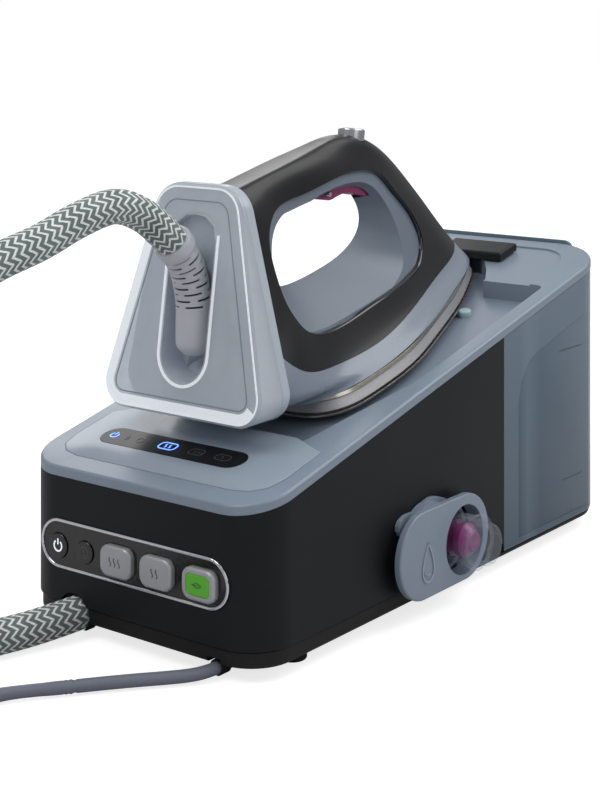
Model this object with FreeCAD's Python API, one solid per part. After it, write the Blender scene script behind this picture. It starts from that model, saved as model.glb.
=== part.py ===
import FreeCAD, Part
import math
import os

# Steam generator iron: a hand iron parked on the cradle of a steam station.
# Millimetres, +Z up, front panel faces -Y, +X to the right of someone facing the rear.
# The origin is on the floor, under the middle of the station.

Vec = FreeCAD.Vector
os.makedirs("parts", exist_ok=True)

# ---------------------------------------------------------------- driving sizes
LENGTH, WIDTH = 430.0, 196.0    # station along Y and X
HALF_X, HALF_Y = WIDTH / 2, LENGTH / 2
FRONT_Y = -HALF_Y
FOOT = 9.0                      # clearance under the housing
FRONT_R, REAR_R = 30.0, 45.0    # vertical corner radii
DECK_SLOPE = 0.241              # rise of the deck per mm towards the rear
TILT = math.degrees(math.atan(DECK_SLOPE))
RIM = 103.0                     # height of the rim plane at the front face
RIM_T = 6.0                     # rim thickness
WALL = 2.5
PAN_H = 9.5                     # height of the base pan wall
PAN_INSET = 1.5
TANK_Y = 54.0                   # front of the water tank
CRADLE_D = 14.0                 # depth of the iron cradle below the rim
SOLE_Z = RIM - 9.0 + DECK_SLOPE * HALF_Y    # height of the soleplate plane at y = 0
HOSE_X, HOSE_Z, HOSE_R = -51.0, 13.6, 10.6  # hose where it leaves the station
CORD_X, CORD_Z, CORD_R = 62.0, 6.0, 3.75    # mains cord where it leaves the station
COLLECTOR_Y, COLLECTOR_Z = -16.0, 41.0      # axis of the rinse collector, along X
SOCKET_Z = 34.0                             # axis of the tank socket, along Y


# ---------------------------------------------------------------- helpers
def rim(offset):
    """Height as a function of y, at an offset above the sloping rim plane."""
    return lambda y: RIM + offset + DECK_SLOPE * (y + HALF_Y)


def level(z):
    return lambda y: z


def polygon_face(points):
    points = [Vec(*p) for p in points]
    return Part.Face(Part.makePolygon(points + [points[0]]))


def wedge(low, high, y0=-300.0, y1=300.0, x0=-200.0, x1=200.0):
    """Band between two height functions of y."""
    side = [(x0, y0, low(y0)), (x0, y1, low(y1)), (x0, y1, high(y1)), (x0, y0, high(y0))]
    return polygon_face(side).extrude(Vec(x1 - x0, 0, 0))


def box(x0, x1, y0, y1, z0, z1):
    return Part.makeBox(x1 - x0, y1 - y0, z1 - z0, Vec(x0, y0, z0))


def cylinder(base, axis, radius, length):
    return Part.makeCylinder(radius, length, Vec(*base), Vec(*axis))


def cyl_x(x, y, z, radius, length):
    return cylinder((x, y, z), (1, 0, 0), radius, length)


def cyl_y(x, y, z, radius, length):
    return cylinder((x, y, z), (0, 1, 0), radius, length)


def cyl_z(x, y, z, radius, length):
    return cylinder((x, y, z), (0, 0, 1), radius, length)


def fused(shape, *others):
    for other in others:
        shape = shape.fuse(other)
    return shape


def without(shape, *tools):
    for tool in tools:
        shape = shape.cut(tool)
    return shape


def prism_xy(points, z0, height):
    return polygon_face([(x, y, z0) for x, y in points]).extrude(Vec(0, 0, height))


def rounded_prism(x0, x1, y0, y1, front_r, rear_r, z0, z1):
    """Upright rounded rectangle with its own radii at the y0 and the y1 corners."""
    arcs = []
    for cx, cy, radius, start in ((x0 + front_r, y0 + front_r, front_r, 180),
                                  (x1 - front_r, y0 + front_r, front_r, 270),
                                  (x1 - rear_r, y1 - rear_r, rear_r, 0),
                                  (x0 + rear_r, y1 - rear_r, rear_r, 90)):
        angles = [math.radians(start + turn) for turn in (0, 45, 90)]
        arcs.append([Vec(cx + radius * math.cos(a), cy + radius * math.sin(a), z0)
                     for a in angles])
    edges = []
    for i, arc in enumerate(arcs):
        edges.append(Part.Arc(*arc).toShape())
        edges.append(Part.makeLine(arc[2], arcs[(i + 1) % 4][0]))
    return Part.Face(Part.Wire(edges)).extrude(Vec(0, 0, z1 - z0))


def station_block(inset, z0=-5.0, z1=260.0):
    """Plan outline of the station, inset, as an upright prism."""
    return rounded_prism(-HALF_X + inset, HALF_X - inset, -HALF_Y + inset, HALF_Y - inset,
                         max(FRONT_R - inset, 1), max(REAR_R - inset, 1), z0, z1)


def round_ended(core, end_points, axis, radius, length):
    """Stadium: a box with a cylinder at each end."""
    ends = [cylinder(p, axis, radius, length) for p in end_points]
    return fused(core, *ends).removeSplitter()


def near(a, b, tolerance=0.01):
    return abs(a - b) < tolerance


def round_edges(shape, radius, edges):
    if not edges:
        return shape
    # guards against a fillet the kernel can't build: the shape then stays sharp
    try:
        rounded = shape.makeFillet(radius, edges)
        if rounded.isValid() and rounded.Volume > 0:
            return rounded
    except Exception:
        pass
    return shape


def fillet(shape, radius, chosen):
    """Round the edges whose bounding box passes the test."""
    return round_edges(shape, radius, [e for e in shape.Edges if chosen(e.BoundBox)])


def edges_at(shape, height, tolerance):
    """Edges with every vertex on the surface given by a height function."""
    return [e for e in shape.Edges
            if all(near(v.Z, height(v.Y), tolerance) for v in e.Vertexes)]


def spline(points, closed=False):
    curve = Part.BSplineCurve()
    curve.interpolate([Vec(*p) for p in points], closed)
    return curve


def closed_wire(points):
    return Part.Wire([spline(points, True).toShape()])


def spline_pipe(points, radius):
    curve = spline(points)
    start = curve.FirstParameter
    circle = Part.Circle(curve.value(start), curve.tangent(start)[0], radius)
    path = Part.Wire([curve.toShape()])
    return path.makePipeShell([Part.Wire([circle.toShape()])], True, False)


def coil(base, axis, radius, wire_r, length, turns):
    helix = Part.makeHelix(length / turns, length, radius)
    profile = Part.Wire([Part.Circle(Vec(radius, 0, 0), Vec(0, 1, 0), wire_r).toShape()])
    spring = Part.Wire(helix.Edges).makePipeShell([profile], True, True)
    spring.Placement = FreeCAD.Placement(
        Vec(*base), FreeCAD.Rotation(Vec(0, 0, 1), Vec(*axis)))
    return spring


def largest(shape):
    return max(shape.Solids, key=lambda solid: solid.Volume)


def save(name, shape):
    solids = shape.Solids
    piece = solids[0] if len(solids) == 1 else Part.makeCompound(solids)
    piece.exportStep("parts/%s.step" % name)


# ================================================================ STATION
# ---------------------------------------------------------------- base
SCREW_POSTS = [(-85, -150), (84, -170), (-84, 20), (84, 20)]
FEET = [(-78, -172), (78, -160), (-72, 182), (72, 182)]


def hose_slot():
    return cyl_y(HOSE_X, FRONT_Y - 1, HOSE_Z, 12.8, 49).fuse(
        box(HOSE_X - 12.8, HOSE_X + 12.8, FRONT_Y - 1, FRONT_Y + 48, 0, HOSE_Z))


def base_pan():
    """Floor under everything, with a low wall in front of the tank."""
    pan = station_block(PAN_INSET, FOOT, FOOT + 3.0)
    pan = fillet(pan, 2.2, lambda span: near(span.ZMax, FOOT, 1e-3))
    ring = station_block(PAN_INSET, FOOT + 2.9, FOOT + PAN_H).cut(station_block(4.5))
    ring = ring.cut(box(-120, 120, TANK_Y - 2, 300, 0, 60))
    pan = pan.fuse(ring).removeSplitter()
    cord_slot = box(CORD_X - 5.1, CORD_X + 5.1, FRONT_Y - 1, FRONT_Y + 38 + 1, 0, 12.4)
    cord_slot = box(CORD_X - 5.1, CORD_X + 5.1, FRONT_Y - 1, FRONT_Y + 39, 0, 12.4)
    pan = without(pan, hose_slot(), cord_slot)
    for x, y in SCREW_POSTS:
        pan = pan.fuse(cyl_z(x, y, FOOT + 2.9, 4.2, 14))
        pan = without(pan, cyl_z(x, y, FOOT - 1, 1.6, 40), cyl_z(x, y, FOOT - 1, 3.4, 4.0))
    for x, y in FEET:
        pan = pan.cut(cyl_z(x, y, FOOT - 1, 3.05, 10))
    return pan.removeSplitter()


def rubber_feet():
    feet = []
    for x, y in FEET:
        foot = cyl_z(x, y, 0, 9.0, FOOT - 0.05)
        foot = fillet(foot, 1.5, lambda span: span.ZMax < 0.01)
        foot = foot.fuse(cyl_z(x, y, FOOT - 0.1, 2.95, 2.7))
        feet.append(foot.removeSplitter())
    return Part.makeCompound(feet)


def base_screws():
    """Screws with a cross recess under the head."""
    screws = []
    for x, y in SCREW_POSTS:
        screw = cyl_z(x, y, FOOT + 0.6, 3.2, 2.2).fuse(cyl_z(x, y, FOOT + 2.6, 1.5, 12))
        screw = without(screw, box(x - 0.4, x + 0.4, y - 2.4, y + 2.4, 0, FOOT + 1.6),
                        box(x - 2.4, x + 2.4, y - 0.4, y + 0.4, 0, FOOT + 1.6))
        screws.append(screw.removeSplitter())
    return Part.makeCompound(screws)


# ---------------------------------------------------------------- housing and deck
PANEL_X0, PANEL_X1 = -78.5, 75.5
PANEL_Z0, PANEL_Z1 = 40.0, 71.0
STUDS = [(39, 97), (-39, 97), (46, -60), (-46, -60)]
STUD_SEAT_R = 3.4

# iron lock slider on the rear plateau
SLIDER_Y0, SLIDER_Y1 = 166.5, 191.0
SLIDER_HALF_X = 28.0
SLIDER_H = 6.4
SLIDER_TRAVEL = 4.0

# outline (x, y) of the cradle's extension for the nose of the iron
NOSE = [(-34, 125), (34, 125), (34, 134), (24, 152), (12, 169), (5, 175),
        (-5, 175), (-12, 169), (-24, 152), (-34, 134)]


def panel_stadium(inset, y0, y1):
    """Outline of the front panel, inset, as a prism along Y."""
    x0, x1 = PANEL_X0 + inset, PANEL_X1 - inset
    z0, z1 = PANEL_Z0 + inset, PANEL_Z1 - inset
    radius, middle = (z1 - z0) / 2, (z0 + z1) / 2
    return round_ended(box(x0 + radius, x1 - radius, y0, y1, z0, z1),
                       [(x0 + radius, y0, middle), (x1 - radius, y0, middle)],
                       (0, 1, 0), radius, y1 - y0)


def side_shell():
    """Dark housing: front, two sides and the bulkhead in front of the tank."""
    base_z = FOOT + PAN_H + 0.5
    shell = station_block(0).cut(station_block(WALL)).common(
        wedge(level(base_z), rim(-RIM_T - 0.1)))
    shell = shell.cut(box(-120, 120, TANK_Y - 0.6, 300, 0, 400))
    inner_x = HALF_X - WALL + 0.5
    bulkhead = box(-inner_x, inner_x, TANK_Y - 3.2, TANK_Y - 0.6, 0, 300)
    bulkhead = bulkhead.common(wedge(level(base_z), rim(-CRADLE_D - 3.2)))
    shell = without(shell.fuse(bulkhead), hose_slot(),
                    panel_stadium(0, FRONT_Y - 5, FRONT_Y + 5),
                    cyl_x(HALF_X - 10, COLLECTOR_Y, COLLECTOR_Z, 24.0, 20),
                    cyl_y(0, TANK_Y - 10, SOCKET_Z, 11.2, 20)).removeSplitter()
    # lower outer edges, short of the bulkhead
    return fillet(shell, 1.2, lambda span: span.ZMax < base_z + 0.1 and span.YMax < TANK_Y - 5
                  and (span.YMin < FRONT_Y + 0.1 or near(abs(span.XMax), HALF_X)
                       or near(span.XMin, -HALF_X)))


def cradle_block(inset, z0, z1):
    """Plan outline of the cradle as an upright prism; a negative inset grows it."""
    outline = [(-66 + inset, -136 + inset), (66 - inset, -136 + inset), (86 - inset, -40),
               (86 - inset, 131 - inset), (-86 + inset, 131 - inset), (-86 + inset, -40)]
    return fillet(prism_xy(outline, z0, z1 - z0), max(6.0 - inset, 1.0),
                  lambda span: abs(span.ZMax - span.ZMin) > 50)


def top_deck():
    """Rim, cradle tub and rear plateau in one moulding."""
    deck = station_block(0).common(wedge(rim(-RIM_T), rim(0)))
    deck = round_edges(deck, 2.2, edges_at(deck, rim(0), 1e-3))
    deck = deck.cut(station_block(2.6).common(wedge(rim(-30), rim(-2.6))))
    outer_band = wedge(rim(-CRADLE_D - 2.4), rim(-2.5))
    inner_band = wedge(rim(-CRADLE_D), rim(40))
    nose_outer = [(x * 1.09, y + (2.6 if y > 150 else 1.2 if y > 126 else 0))
                  for x, y in NOSE]
    tub_outer = cradle_block(-2.4, 0, 260).common(outer_band)
    tub_inner = cradle_block(0, 0, 300).common(inner_band)
    tub_outer = tub_outer.fuse(prism_xy(nose_outer, 90, 200).common(outer_band))
    tub_inner = tub_inner.fuse(prism_xy(NOSE, 90, 200).common(inner_band))
    deck = deck.fuse(tub_outer.common(station_block(0))).cut(tub_inner).removeSplitter()
    # shallow step that frames the rear plateau
    step = rounded_prism(-74, 74, 128, 200, 1, 28, 100, 260)
    deck = deck.cut(step.common(wedge(rim(-1.2), rim(20))))
    # window for the console wiring
    deck = deck.cut(box(-50, 50, -190, -165, 60, 200))
    # slot in which the stem of the lock slider travels
    deck = deck.cut(box(-8, 8, SLIDER_Y0 + 12 - SLIDER_TRAVEL - 1, SLIDER_Y0 + 19, 100, 260))
    # notch over the tank's grip lip at the rear edge
    deck = deck.cut(box(-64.5, 64.5, HALF_Y - 1.8, HALF_Y + 5, 100, 260))
    for x, y in STUDS:
        deck = deck.cut(cyl_z(x, y, 100, STUD_SEAT_R, 100))
    return deck.removeSplitter()


def cradle_studs():
    studs = []
    for x, y in STUDS:
        stud = cyl_z(0, 0, 0.1, 5.0, 4.4)
        stud = fillet(stud, 1.6, lambda span: span.ZMin > 4.4)
        stud = stud.fuse(cyl_z(0, 0, -2.8, 2.5, 3.0))
        stud.rotate(Vec(0, 0, 0), Vec(1, 0, 0), TILT)
        stud.translate(Vec(x, y, rim(-CRADLE_D)(y)))
        studs.append(stud.removeSplitter())
    return Part.makeCompound(studs)


def lock_slider():
    slider = wedge(rim(0.15), rim(SLIDER_H), SLIDER_Y0, SLIDER_Y1,
                   -SLIDER_HALF_X, SLIDER_HALF_X)
    slider = fillet(slider, 6.0, lambda span: near(abs(span.XMin), SLIDER_HALF_X)
                    and near(span.XMax, span.XMin) and abs(span.ZMax - span.ZMin) > 3.2)
    slider = round_edges(slider, 2.2, edges_at(slider, rim(SLIDER_H), 1e-2))
    stem = wedge(rim(-5.4), rim(0.3), SLIDER_Y0 + 12, SLIDER_Y0 + 18, -7.5, 7.5)
    return slider.fuse(stem).removeSplitter()


# ---------------------------------------------------------------- console and display
CONSOLE_H = 3.0                 # console plateau above the rim
DISPLAY_X0, DISPLAY_X1 = -63.5, 53.0
DISPLAY_Y0, DISPLAY_Y1 = -184.5, -164.5

# outlines (x, y) of the console at the rim and on the plateau, point for point
CONSOLE_LOW = [
    (-87, -143), (-87, -178), (-84, -190), (-76, -197), (-64, -200), (64, -200),
    (76, -197), (84, -190), (87, -178), (87, -143), (66.5, -136.9), (-66.5, -136.9)]
CONSOLE_HIGH = [
    (-67, -137.1), (-67, -176), (-65.5, -187), (-61, -192.5), (-53, -194.5), (50, -194.5),
    (58, -192.5), (62.5, -187), (64, -176), (64, -137.1), (60, -137.0), (-62, -137.0)]


def faceted_solid(low, high):
    """Solid between two outlines, with two triangles for each side."""
    faces = [polygon_face(low), polygon_face(high)]
    for i in range(len(low)):
        j = (i + 1) % len(low)
        faces.append(polygon_face([low[i], low[j], high[i]]))
        faces.append(polygon_face([low[j], high[j], high[i]]))
    shell = Part.makeShell(faces)
    shell.sewShape()
    solid = Part.makeSolid(shell)
    if solid.Volume < 0:
        solid.reverse()
    return solid


def display_stadium(grow):
    x0, x1 = DISPLAY_X0 - grow, DISPLAY_X1 + grow
    y0, y1 = DISPLAY_Y0 - grow, DISPLAY_Y1 + grow
    radius, middle = (y1 - y0) / 2, (y0 + y1) / 2
    return round_ended(box(x0 + radius, x1 - radius, y0, y1, 60, 200),
                       [(x0 + radius, middle, 60), (x1 - radius, middle, 60)],
                       (0, 0, 1), radius, 140)


def console_cover():
    """Low plateau with wide side chamfers."""
    cover = faceted_solid([(x, y, rim(0.05)(y)) for x, y in CONSOLE_LOW],
                          [(x, y, rim(CONSOLE_H)(y)) for x, y in CONSOLE_HIGH])
    recess = display_stadium(0.15).common(wedge(rim(CONSOLE_H - 1.6), rim(20)))
    wiring = box(-46, 44, DISPLAY_Y0 + 3, DISPLAY_Y1 - 3, 60, 200)
    return without(cover, recess, wiring).removeSplitter()


def display_lens():
    return display_stadium(0).common(wedge(rim(CONSOLE_H - 1.5), rim(CONSOLE_H + 0.1)))


# ---------------------------------------------------------------- front panel
BUTTON_Z = 54.0
MODE_BUTTONS = {"button_turbo": -12.0, "button_normal": 20.5, "button_eco": 54.3}   # x
ROUND_BUTTONS = {"button_power": (-63.0, 7.6), "button_clean": (-40.0, 6.8)}  # x, radius
BUTTON_GAP = 0.4
KEY = (12.8, 9.6, 6.6)          # half width, half height, corner radius
LAMP = (9.0, 6.2, 3.0)          # the same for the lamp in the eco key


def key_prism(x, size, grow, y0, y1):
    """Rounded rectangle around (x, BUTTON_Z), extruded along Y."""
    half_x, half_z, radius = (value + grow for value in size)
    block = box(x - half_x, x + half_x, y0, y1, BUTTON_Z - half_z, BUTTON_Z + half_z)
    return fillet(block, radius, lambda span: near(abs(span.YMax - span.YMin), y1 - y0, 1e-3))


def panel_bezel():
    bezel = panel_stadium(0.2, FRONT_Y - 1.2, FRONT_Y + 2.4)
    bezel = bezel.cut(panel_stadium(2.2, FRONT_Y - 3, FRONT_Y + 5))
    return fillet(bezel, 0.7, lambda span: span.YMax < FRONT_Y - 1.1)


def front_panel():
    panel = panel_stadium(2.3, FRONT_Y - 0.3, FRONT_Y + 2.4)
    for x in MODE_BUTTONS.values():
        panel = panel.cut(key_prism(x, KEY, BUTTON_GAP, FRONT_Y - 3, FRONT_Y + 5))
    for x, radius in ROUND_BUTTONS.values():
        panel = panel.cut(cyl_y(x, FRONT_Y - 3, BUTTON_Z, radius + BUTTON_GAP, 9))
    return panel


def mode_button(name):
    x = MODE_BUTTONS[name]
    front, back = FRONT_Y - 4.2, FRONT_Y + 2.0
    cap = key_prism(x, KEY, 0, front, back)
    cap = fillet(cap, 2.0, lambda span: span.YMax < front + 0.01)
    stem = box(x - 4, x + 4, back - 0.1, back + 5.5, BUTTON_Z - 4, BUTTON_Z + 4)
    button = cap.fuse(stem).removeSplitter()
    if name == "button_eco":
        button = button.cut(key_prism(x, LAMP, 0.1, FRONT_Y - 6, FRONT_Y - 3.0))
    return button


def eco_lamp():
    lamp = key_prism(MODE_BUTTONS["button_eco"], LAMP, 0, FRONT_Y - 4.35, FRONT_Y - 3.0)
    return fillet(lamp, 0.6, lambda span: span.YMax < FRONT_Y - 4.34)


def round_button(name):
    x, radius = ROUND_BUTTONS[name]
    cap = cyl_y(x, FRONT_Y - 1.4, BUTTON_Z, radius, 3.4)
    cap = fillet(cap, 0.6, lambda span: span.YMax < FRONT_Y - 1.3)
    return cap.fuse(cyl_y(x, FRONT_Y + 1.9, BUTTON_Z, 2.6, 5.6)).removeSplitter()


def circuit_boards():
    """Display board, button board with its switches, upright power board."""
    display_board = wedge(rim(-5.6), rim(-4.0), -188, -162, -45, 45).fuse(
        wedge(rim(-4.1), rim(-0.5), -180, -169, -40, 40)).removeSplitter()
    button_board = box(-78, 74, FRONT_Y + 14.0, FRONT_Y + 15.6, 42, 68)
    for x in [x for x, _ in ROUND_BUTTONS.values()] + list(MODE_BUTTONS.values()):
        button_board = button_board.fuse(
            box(x - 3, x + 3, FRONT_Y + 10.2, FRONT_Y + 14.1, BUTTON_Z - 3, BUTTON_Z + 3))
    power_board = fused(box(12, 86, -190, -188.4, 24, 92),
                        box(22, 40, -188.5, -176, 30, 60),
                        box(48, 60, -188.5, -180, 60, 84)).removeSplitter()
    return Part.makeCompound([display_board, button_board.removeSplitter(), power_board])


# ---------------------------------------------------------------- boiler, pump and pipes
BOILER_X, BOILER_Z = -42, 58    # boiler axis, along Y
PORTS_Y = (-75, -110)           # ports on top of the boiler
PUMP_X, PUMP_Z = 50, 40         # pump axis, along Y
VALVE_X, VALVE_Y = 4, -93       # solenoid valve axis, along Z

# pipe centre lines (x, y, z)
PIPE_TANK_TO_PUMP = [(50, -33.0, 40), (48, -18, 40), (36, 8, 38), (12, 23, 34.6), (0, 32.0, 34)]
PIPE_PUMP_TO_BOILER = [(50, -104.8, 40), (49, -118, 41), (36, -136, 60), (4, -140, 88),
                       (-28, -128, 103), (-41, -114, 106), (-42, -110, 98.2)]
STEAM_PIPE = [(4, -93, 49.0), (3, -95, 38), (-10, -118, 29), (-36, -148, 26.0),
              (-50.4, -163, 25.3)]


def boiler():
    tank = cyl_y(BOILER_X, -132, BOILER_Z, 33, 84)
    tank = round_edges(tank, 9.0, tank.Edges)
    tank = tank.fuse(box(BOILER_X - 6, BOILER_X + 6, -120, -60, FOOT + 3.0, 30))
    for y in PORTS_Y:
        tank = tank.fuse(cyl_z(BOILER_X, y, 88, 6.0, 9.5))
    for y in reversed(PORTS_Y):
        tank = tank.cut(cyl_z(BOILER_X, y, 80, 2.2, 30))
    return tank.removeSplitter()


def boiler_heater():
    """Heater on the rear end of the boiler, two round capsules on the front end."""
    heater = fused(cyl_y(BOILER_X, -47.9, BOILER_Z, 17.0, 4.0),
                   cyl_y(BOILER_X - 8, -44, BOILER_Z, 2.5, 9),
                   cyl_y(BOILER_X + 8, -44, BOILER_Z, 2.5, 9)).removeSplitter()
    pieces = [heater]
    for z in (BOILER_Z - 12, BOILER_Z + 12):
        blade = box(BOILER_X - 1.5, BOILER_X + 1.5, -146, -140.9, z - 6, z + 6)
        pieces.append(cyl_y(BOILER_X, -141.0, z, 8.0, 8.9).fuse(blade).removeSplitter())
    return Part.makeCompound(pieces)


def pump_body():
    return fused(cyl_y(PUMP_X, -92, PUMP_Z, 14.0, 46),
                 box(PUMP_X - 18, PUMP_X + 18, -84, -60, 26, 56),
                 cyl_y(PUMP_X, -104, PUMP_Z, 4.0, 13),
                 cyl_y(PUMP_X, -47, PUMP_Z, 4.0, 13)).removeSplitter()


def pump_mounts():
    return Part.makeCompound([
        box(PUMP_X - 16, PUMP_X + 16, y, y + 4, FOOT + 3.0, 58).cut(
            cyl_y(PUMP_X, y - 5, PUMP_Z, 4.6, 20)) for y in (-96.0, -45.9)])


def solenoid_valve():
    return fused(box(VALVE_X - 11, VALVE_X + 11, -108, -78, 66, 92),
                 cyl_z(VALVE_X, VALVE_Y, 50, 7.0, 16.1),
                 cylinder((-6.5, VALVE_Y, 87), (-1, 0, 0), 3.4, 7)).removeSplitter()


def water_pipes():
    return Part.makeCompound([spline_pipe(PIPE_TANK_TO_PUMP, 3.5),
                              spline_pipe(PIPE_PUMP_TO_BOILER, 2.6)])


def steam_pipe():
    return spline_pipe(STEAM_PIPE, 4.0)


# ---------------------------------------------------------------- water tank
# outline (y, z) of the shallow panel in both side walls
SIDE_PANEL = [(74, 17.5), (190, 17.5), (190, 166), (104, 145), (88, 139), (78, 127), (74, 112)]
LIP_HALF_X, LIP_TOP = 64, 208.5


def on_socket(dy, radius, length):
    """Cylinder on the socket axis, starting dy behind the front of the tank."""
    return cyl_y(0, TANK_Y + dy, SOCKET_Z, radius, length)


def tank_socket():
    pipe = on_socket(-20, 5.0, 10).cut(on_socket(-21, 3.6, 30))
    cup = on_socket(-6.3, 16, 3.0).fuse(on_socket(-12, 10.9, 11.8)).cut(
        on_socket(-10.5, 8.6, 30))
    return pipe.fuse(cup).cut(on_socket(-30, 3.6, 60)).removeSplitter()


def socket_seal():
    return Part.makeTorus(7.3, 1.25, Vec(0, TANK_Y - 5.0, SOCKET_Z), Vec(0, 1, 0))


def tank_cavity():
    inner = station_block(3.0).common(wedge(level(FOOT + 6.2), rim(-RIM_T + 5)))
    inner = inner.cut(box(-120, 120, -300, TANK_Y + 2.7, 0, 400))
    low = inner.common(wedge(level(0), rim(-CRADLE_D - 6.0)))
    rear = inner.common(box(-120, 120, 142, 300, 0, 400))
    rear = rear.common(wedge(level(0), rim(-RIM_T + 5)))
    rear = rear.cut(box(-46.6, 46.6, 130, 186.6, 0, 400))
    return low.fuse(rear).removeSplitter()


def valve_cage():
    """Ring behind the valve on four rods."""
    cage = on_socket(24.2, 10, 2.5).cut(on_socket(20, 1.9, 10))
    for degrees in (45, 135, 225, 315):
        angle = math.radians(degrees)
        cage = cage.fuse(cyl_y(9.0 * math.cos(angle), TANK_Y + 2.2,
                               SOCKET_Z + 9.0 * math.sin(angle), 0.95, 22.5))
    return cage


def water_tank():
    tank = station_block(0.3).common(wedge(level(FOOT + 3.4), rim(-RIM_T - 0.5)))
    tank = tank.cut(box(-120, 120, -300, TANK_Y, 0, 400))
    # room under the cradle tub and its nose
    clearance = wedge(rim(-CRADLE_D - 3.0), rim(10))
    for block in (cradle_block(-3.6, 0, 300), box(-84, 84, TANK_Y - 1, 138, 0, 400),
                  box(-44, 44, 130, 184, 0, 400)):
        tank = tank.cut(block.common(clearance))
    tank = fillet(tank, 2.0, lambda span: span.ZMax < FOOT + 3.5)
    tank = tank.cut(tank_cavity())
    for side in (-1, 1):
        outline = [(side * (HALF_X - 1), y, z) for y, z in SIDE_PANEL]
        tank = tank.cut(polygon_face(outline).extrude(Vec(side * 3, 0, 0)))
    # grip lip along the rear top edge
    lip = box(-LIP_HALF_X, LIP_HALF_X, HALF_Y + 0.1, HALF_Y + 2.6, 176, LIP_TOP).fuse(
        box(-LIP_HALF_X, LIP_HALF_X, HALF_Y - 0.6, HALF_Y + 1, 176, 186))
    lip = fillet(lip, 8.0, lambda span: near(abs(span.XMin), LIP_HALF_X)
                 and span.ZMax > LIP_TOP - 0.1
                 and near(span.XMin, span.XMax) and near(span.ZMax, span.ZMin))
    # spout into the socket
    tank = tank.fuse(lip).fuse(on_socket(-8.0, 5.9, 8.5)).cut(on_socket(-9, 4.4, 16))
    return tank.fuse(valve_cage()).removeSplitter()


def tank_lid():
    """Closes the rear of the tank under the plateau."""
    lid = station_block(3.1).common(wedge(rim(-RIM_T - 3.0), rim(-RIM_T - 0.8)))
    lid = lid.common(box(-120, 120, 142.1, 300, 0, 400))
    return without(lid, box(-46.7, 46.7, 120, 186.7, 0, 400),
                   rounded_prism(54, 86, 150, 188, 10, 10, 100, 260))


def tank_valve():
    return fused(on_socket(-6.0, 3.9, 11), on_socket(3.6, 7.5, 2.4),
                 on_socket(5.9, 1.6, 19)).removeSplitter()


def valve_spring():
    return coil((0, TANK_Y + 6.6, SOCKET_Z), (0, 1, 0), radius=4.2, wire_r=0.45,
                length=17.0, turns=6)


# ---------------------------------------------------------------- rinse collector
COVER_X0, COVER_X1 = 105.0, 109.5           # thickness of the cover plate
COVER_Y0, COVER_Y1 = -91, 14
COVER_Z0, COVER_Z1 = 14.2, 70.2
DRUM_Y, DRUM_Z = -50, 45                    # hollow drum behind the plate
LOBES = [   # outlines (y, z) of two lobes that show above the cover plate
    [(-60.5, 60.0), (-58.6, 63.4), (-57.1, 66.2), (-54.5, 69.6), (-50.7, 72.3),
     (-44.9, 73.4), (-39.5, 73.1), (-35.4, 72.2), (-29.4, 70.2), (-25.5, 68.2),
     (-23.4, 66.0), (-24.0, 62.0), (-30.0, 57.0), (-45.0, 58.0)],
    [(-79.0, 57.0), (-81.4, 60.5), (-81.6, 63.4), (-79.8, 66.0), (-76.5, 67.7),
     (-72.5, 68.6), (-64.6, 68.6), (-60.5, 67.4), (-57.0, 65.2), (-56.0, 61.0),
     (-62.0, 56.0), (-70.0, 54.0)]]


def on_collector(x, radius, length):
    return cyl_x(x, COLLECTOR_Y, COLLECTOR_Z, radius, length)


def descale_cover():
    """Stadium plate on the right side, held off the housing by a drum and a collar."""
    radius, middle = (COVER_Z1 - COVER_Z0) / 2, (COVER_Z0 + COVER_Z1) / 2
    ends_y = (COVER_Y0 + radius, COVER_Y1 - radius)
    plate = round_ended(box(COVER_X0, COVER_X1, *ends_y, COVER_Z0, COVER_Z1),
                        [(COVER_X0, y, middle) for y in ends_y],
                        (1, 0, 0), radius, COVER_X1 - COVER_X0)
    plate = fillet(plate, 1.3, lambda span: span.XMin > COVER_X1 - 0.01)
    plate = plate.cut(on_collector(90, 22.6, 40))
    back_x = HALF_X + 0.6
    depth = COVER_X0 - HALF_X - 0.5
    hollow = cyl_x(HALF_X - 1, DRUM_Y, DRUM_Z, 23.5, 20)
    plate = plate.fuse(cyl_x(back_x, DRUM_Y, DRUM_Z, 27, depth).cut(hollow))
    for lobe in LOBES:
        face = polygon_face([(back_x, y, z) for y, z in lobe])
        plate = plate.fuse(face.extrude(Vec(2.8, 0, 0)).cut(hollow))
    plate = plate.fuse(on_collector(back_x, 24.5, depth))
    return plate.cut(on_collector(HALF_X, 22.6, COVER_X0 - HALF_X + 0.1)).removeSplitter()


def collector_socket():
    bore = on_collector(HALF_X - 31, 18.6, 60)
    socket = on_collector(HALF_X - 34, 21.5, 33.0).cut(bore)
    return socket.fuse(on_collector(HALF_X - 6.0, 22.3, 4.0).cut(bore)).removeSplitter()


def collector_cup():
    """Cup with a flange and a six-lobed knob."""
    bore = on_collector(HALF_X - 29, 14.6, 49)
    cup = on_collector(HALF_X - 28, 16.6, 50).cut(bore)
    cup = cup.fuse(on_collector(HALF_X + 20.5, 17.8, 2.4).cut(bore))
    knob = on_collector(HALF_X + 22.5, 13.5, 10.5)
    knob = fillet(knob, 3.5, lambda span: span.XMin > HALF_X + 32.9)
    for i in range(6):
        angle = math.radians(60 * i + 30)
        knob = knob.cut(cyl_x(HALF_X + 22.9, COLLECTOR_Y + 16.5 * math.cos(angle),
                              COLLECTOR_Z + 16.5 * math.sin(angle), 5.0, 20))
    return cup.fuse(knob).removeSplitter()


def collector_core():
    core = on_collector(HALF_X - 20, 4.2, 38)
    for i in range(4):
        core = core.fuse(on_collector(HALF_X - 18 + 9.0 * i, 13.0 - 0.6 * i, 4.6))
    tip = Part.makeCone(11.5, 6.0, 6.5, Vec(HALF_X + 13.0, COLLECTOR_Y, COLLECTOR_Z),
                        Vec(1, 0, 0))
    return core.fuse(tip).removeSplitter()


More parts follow.
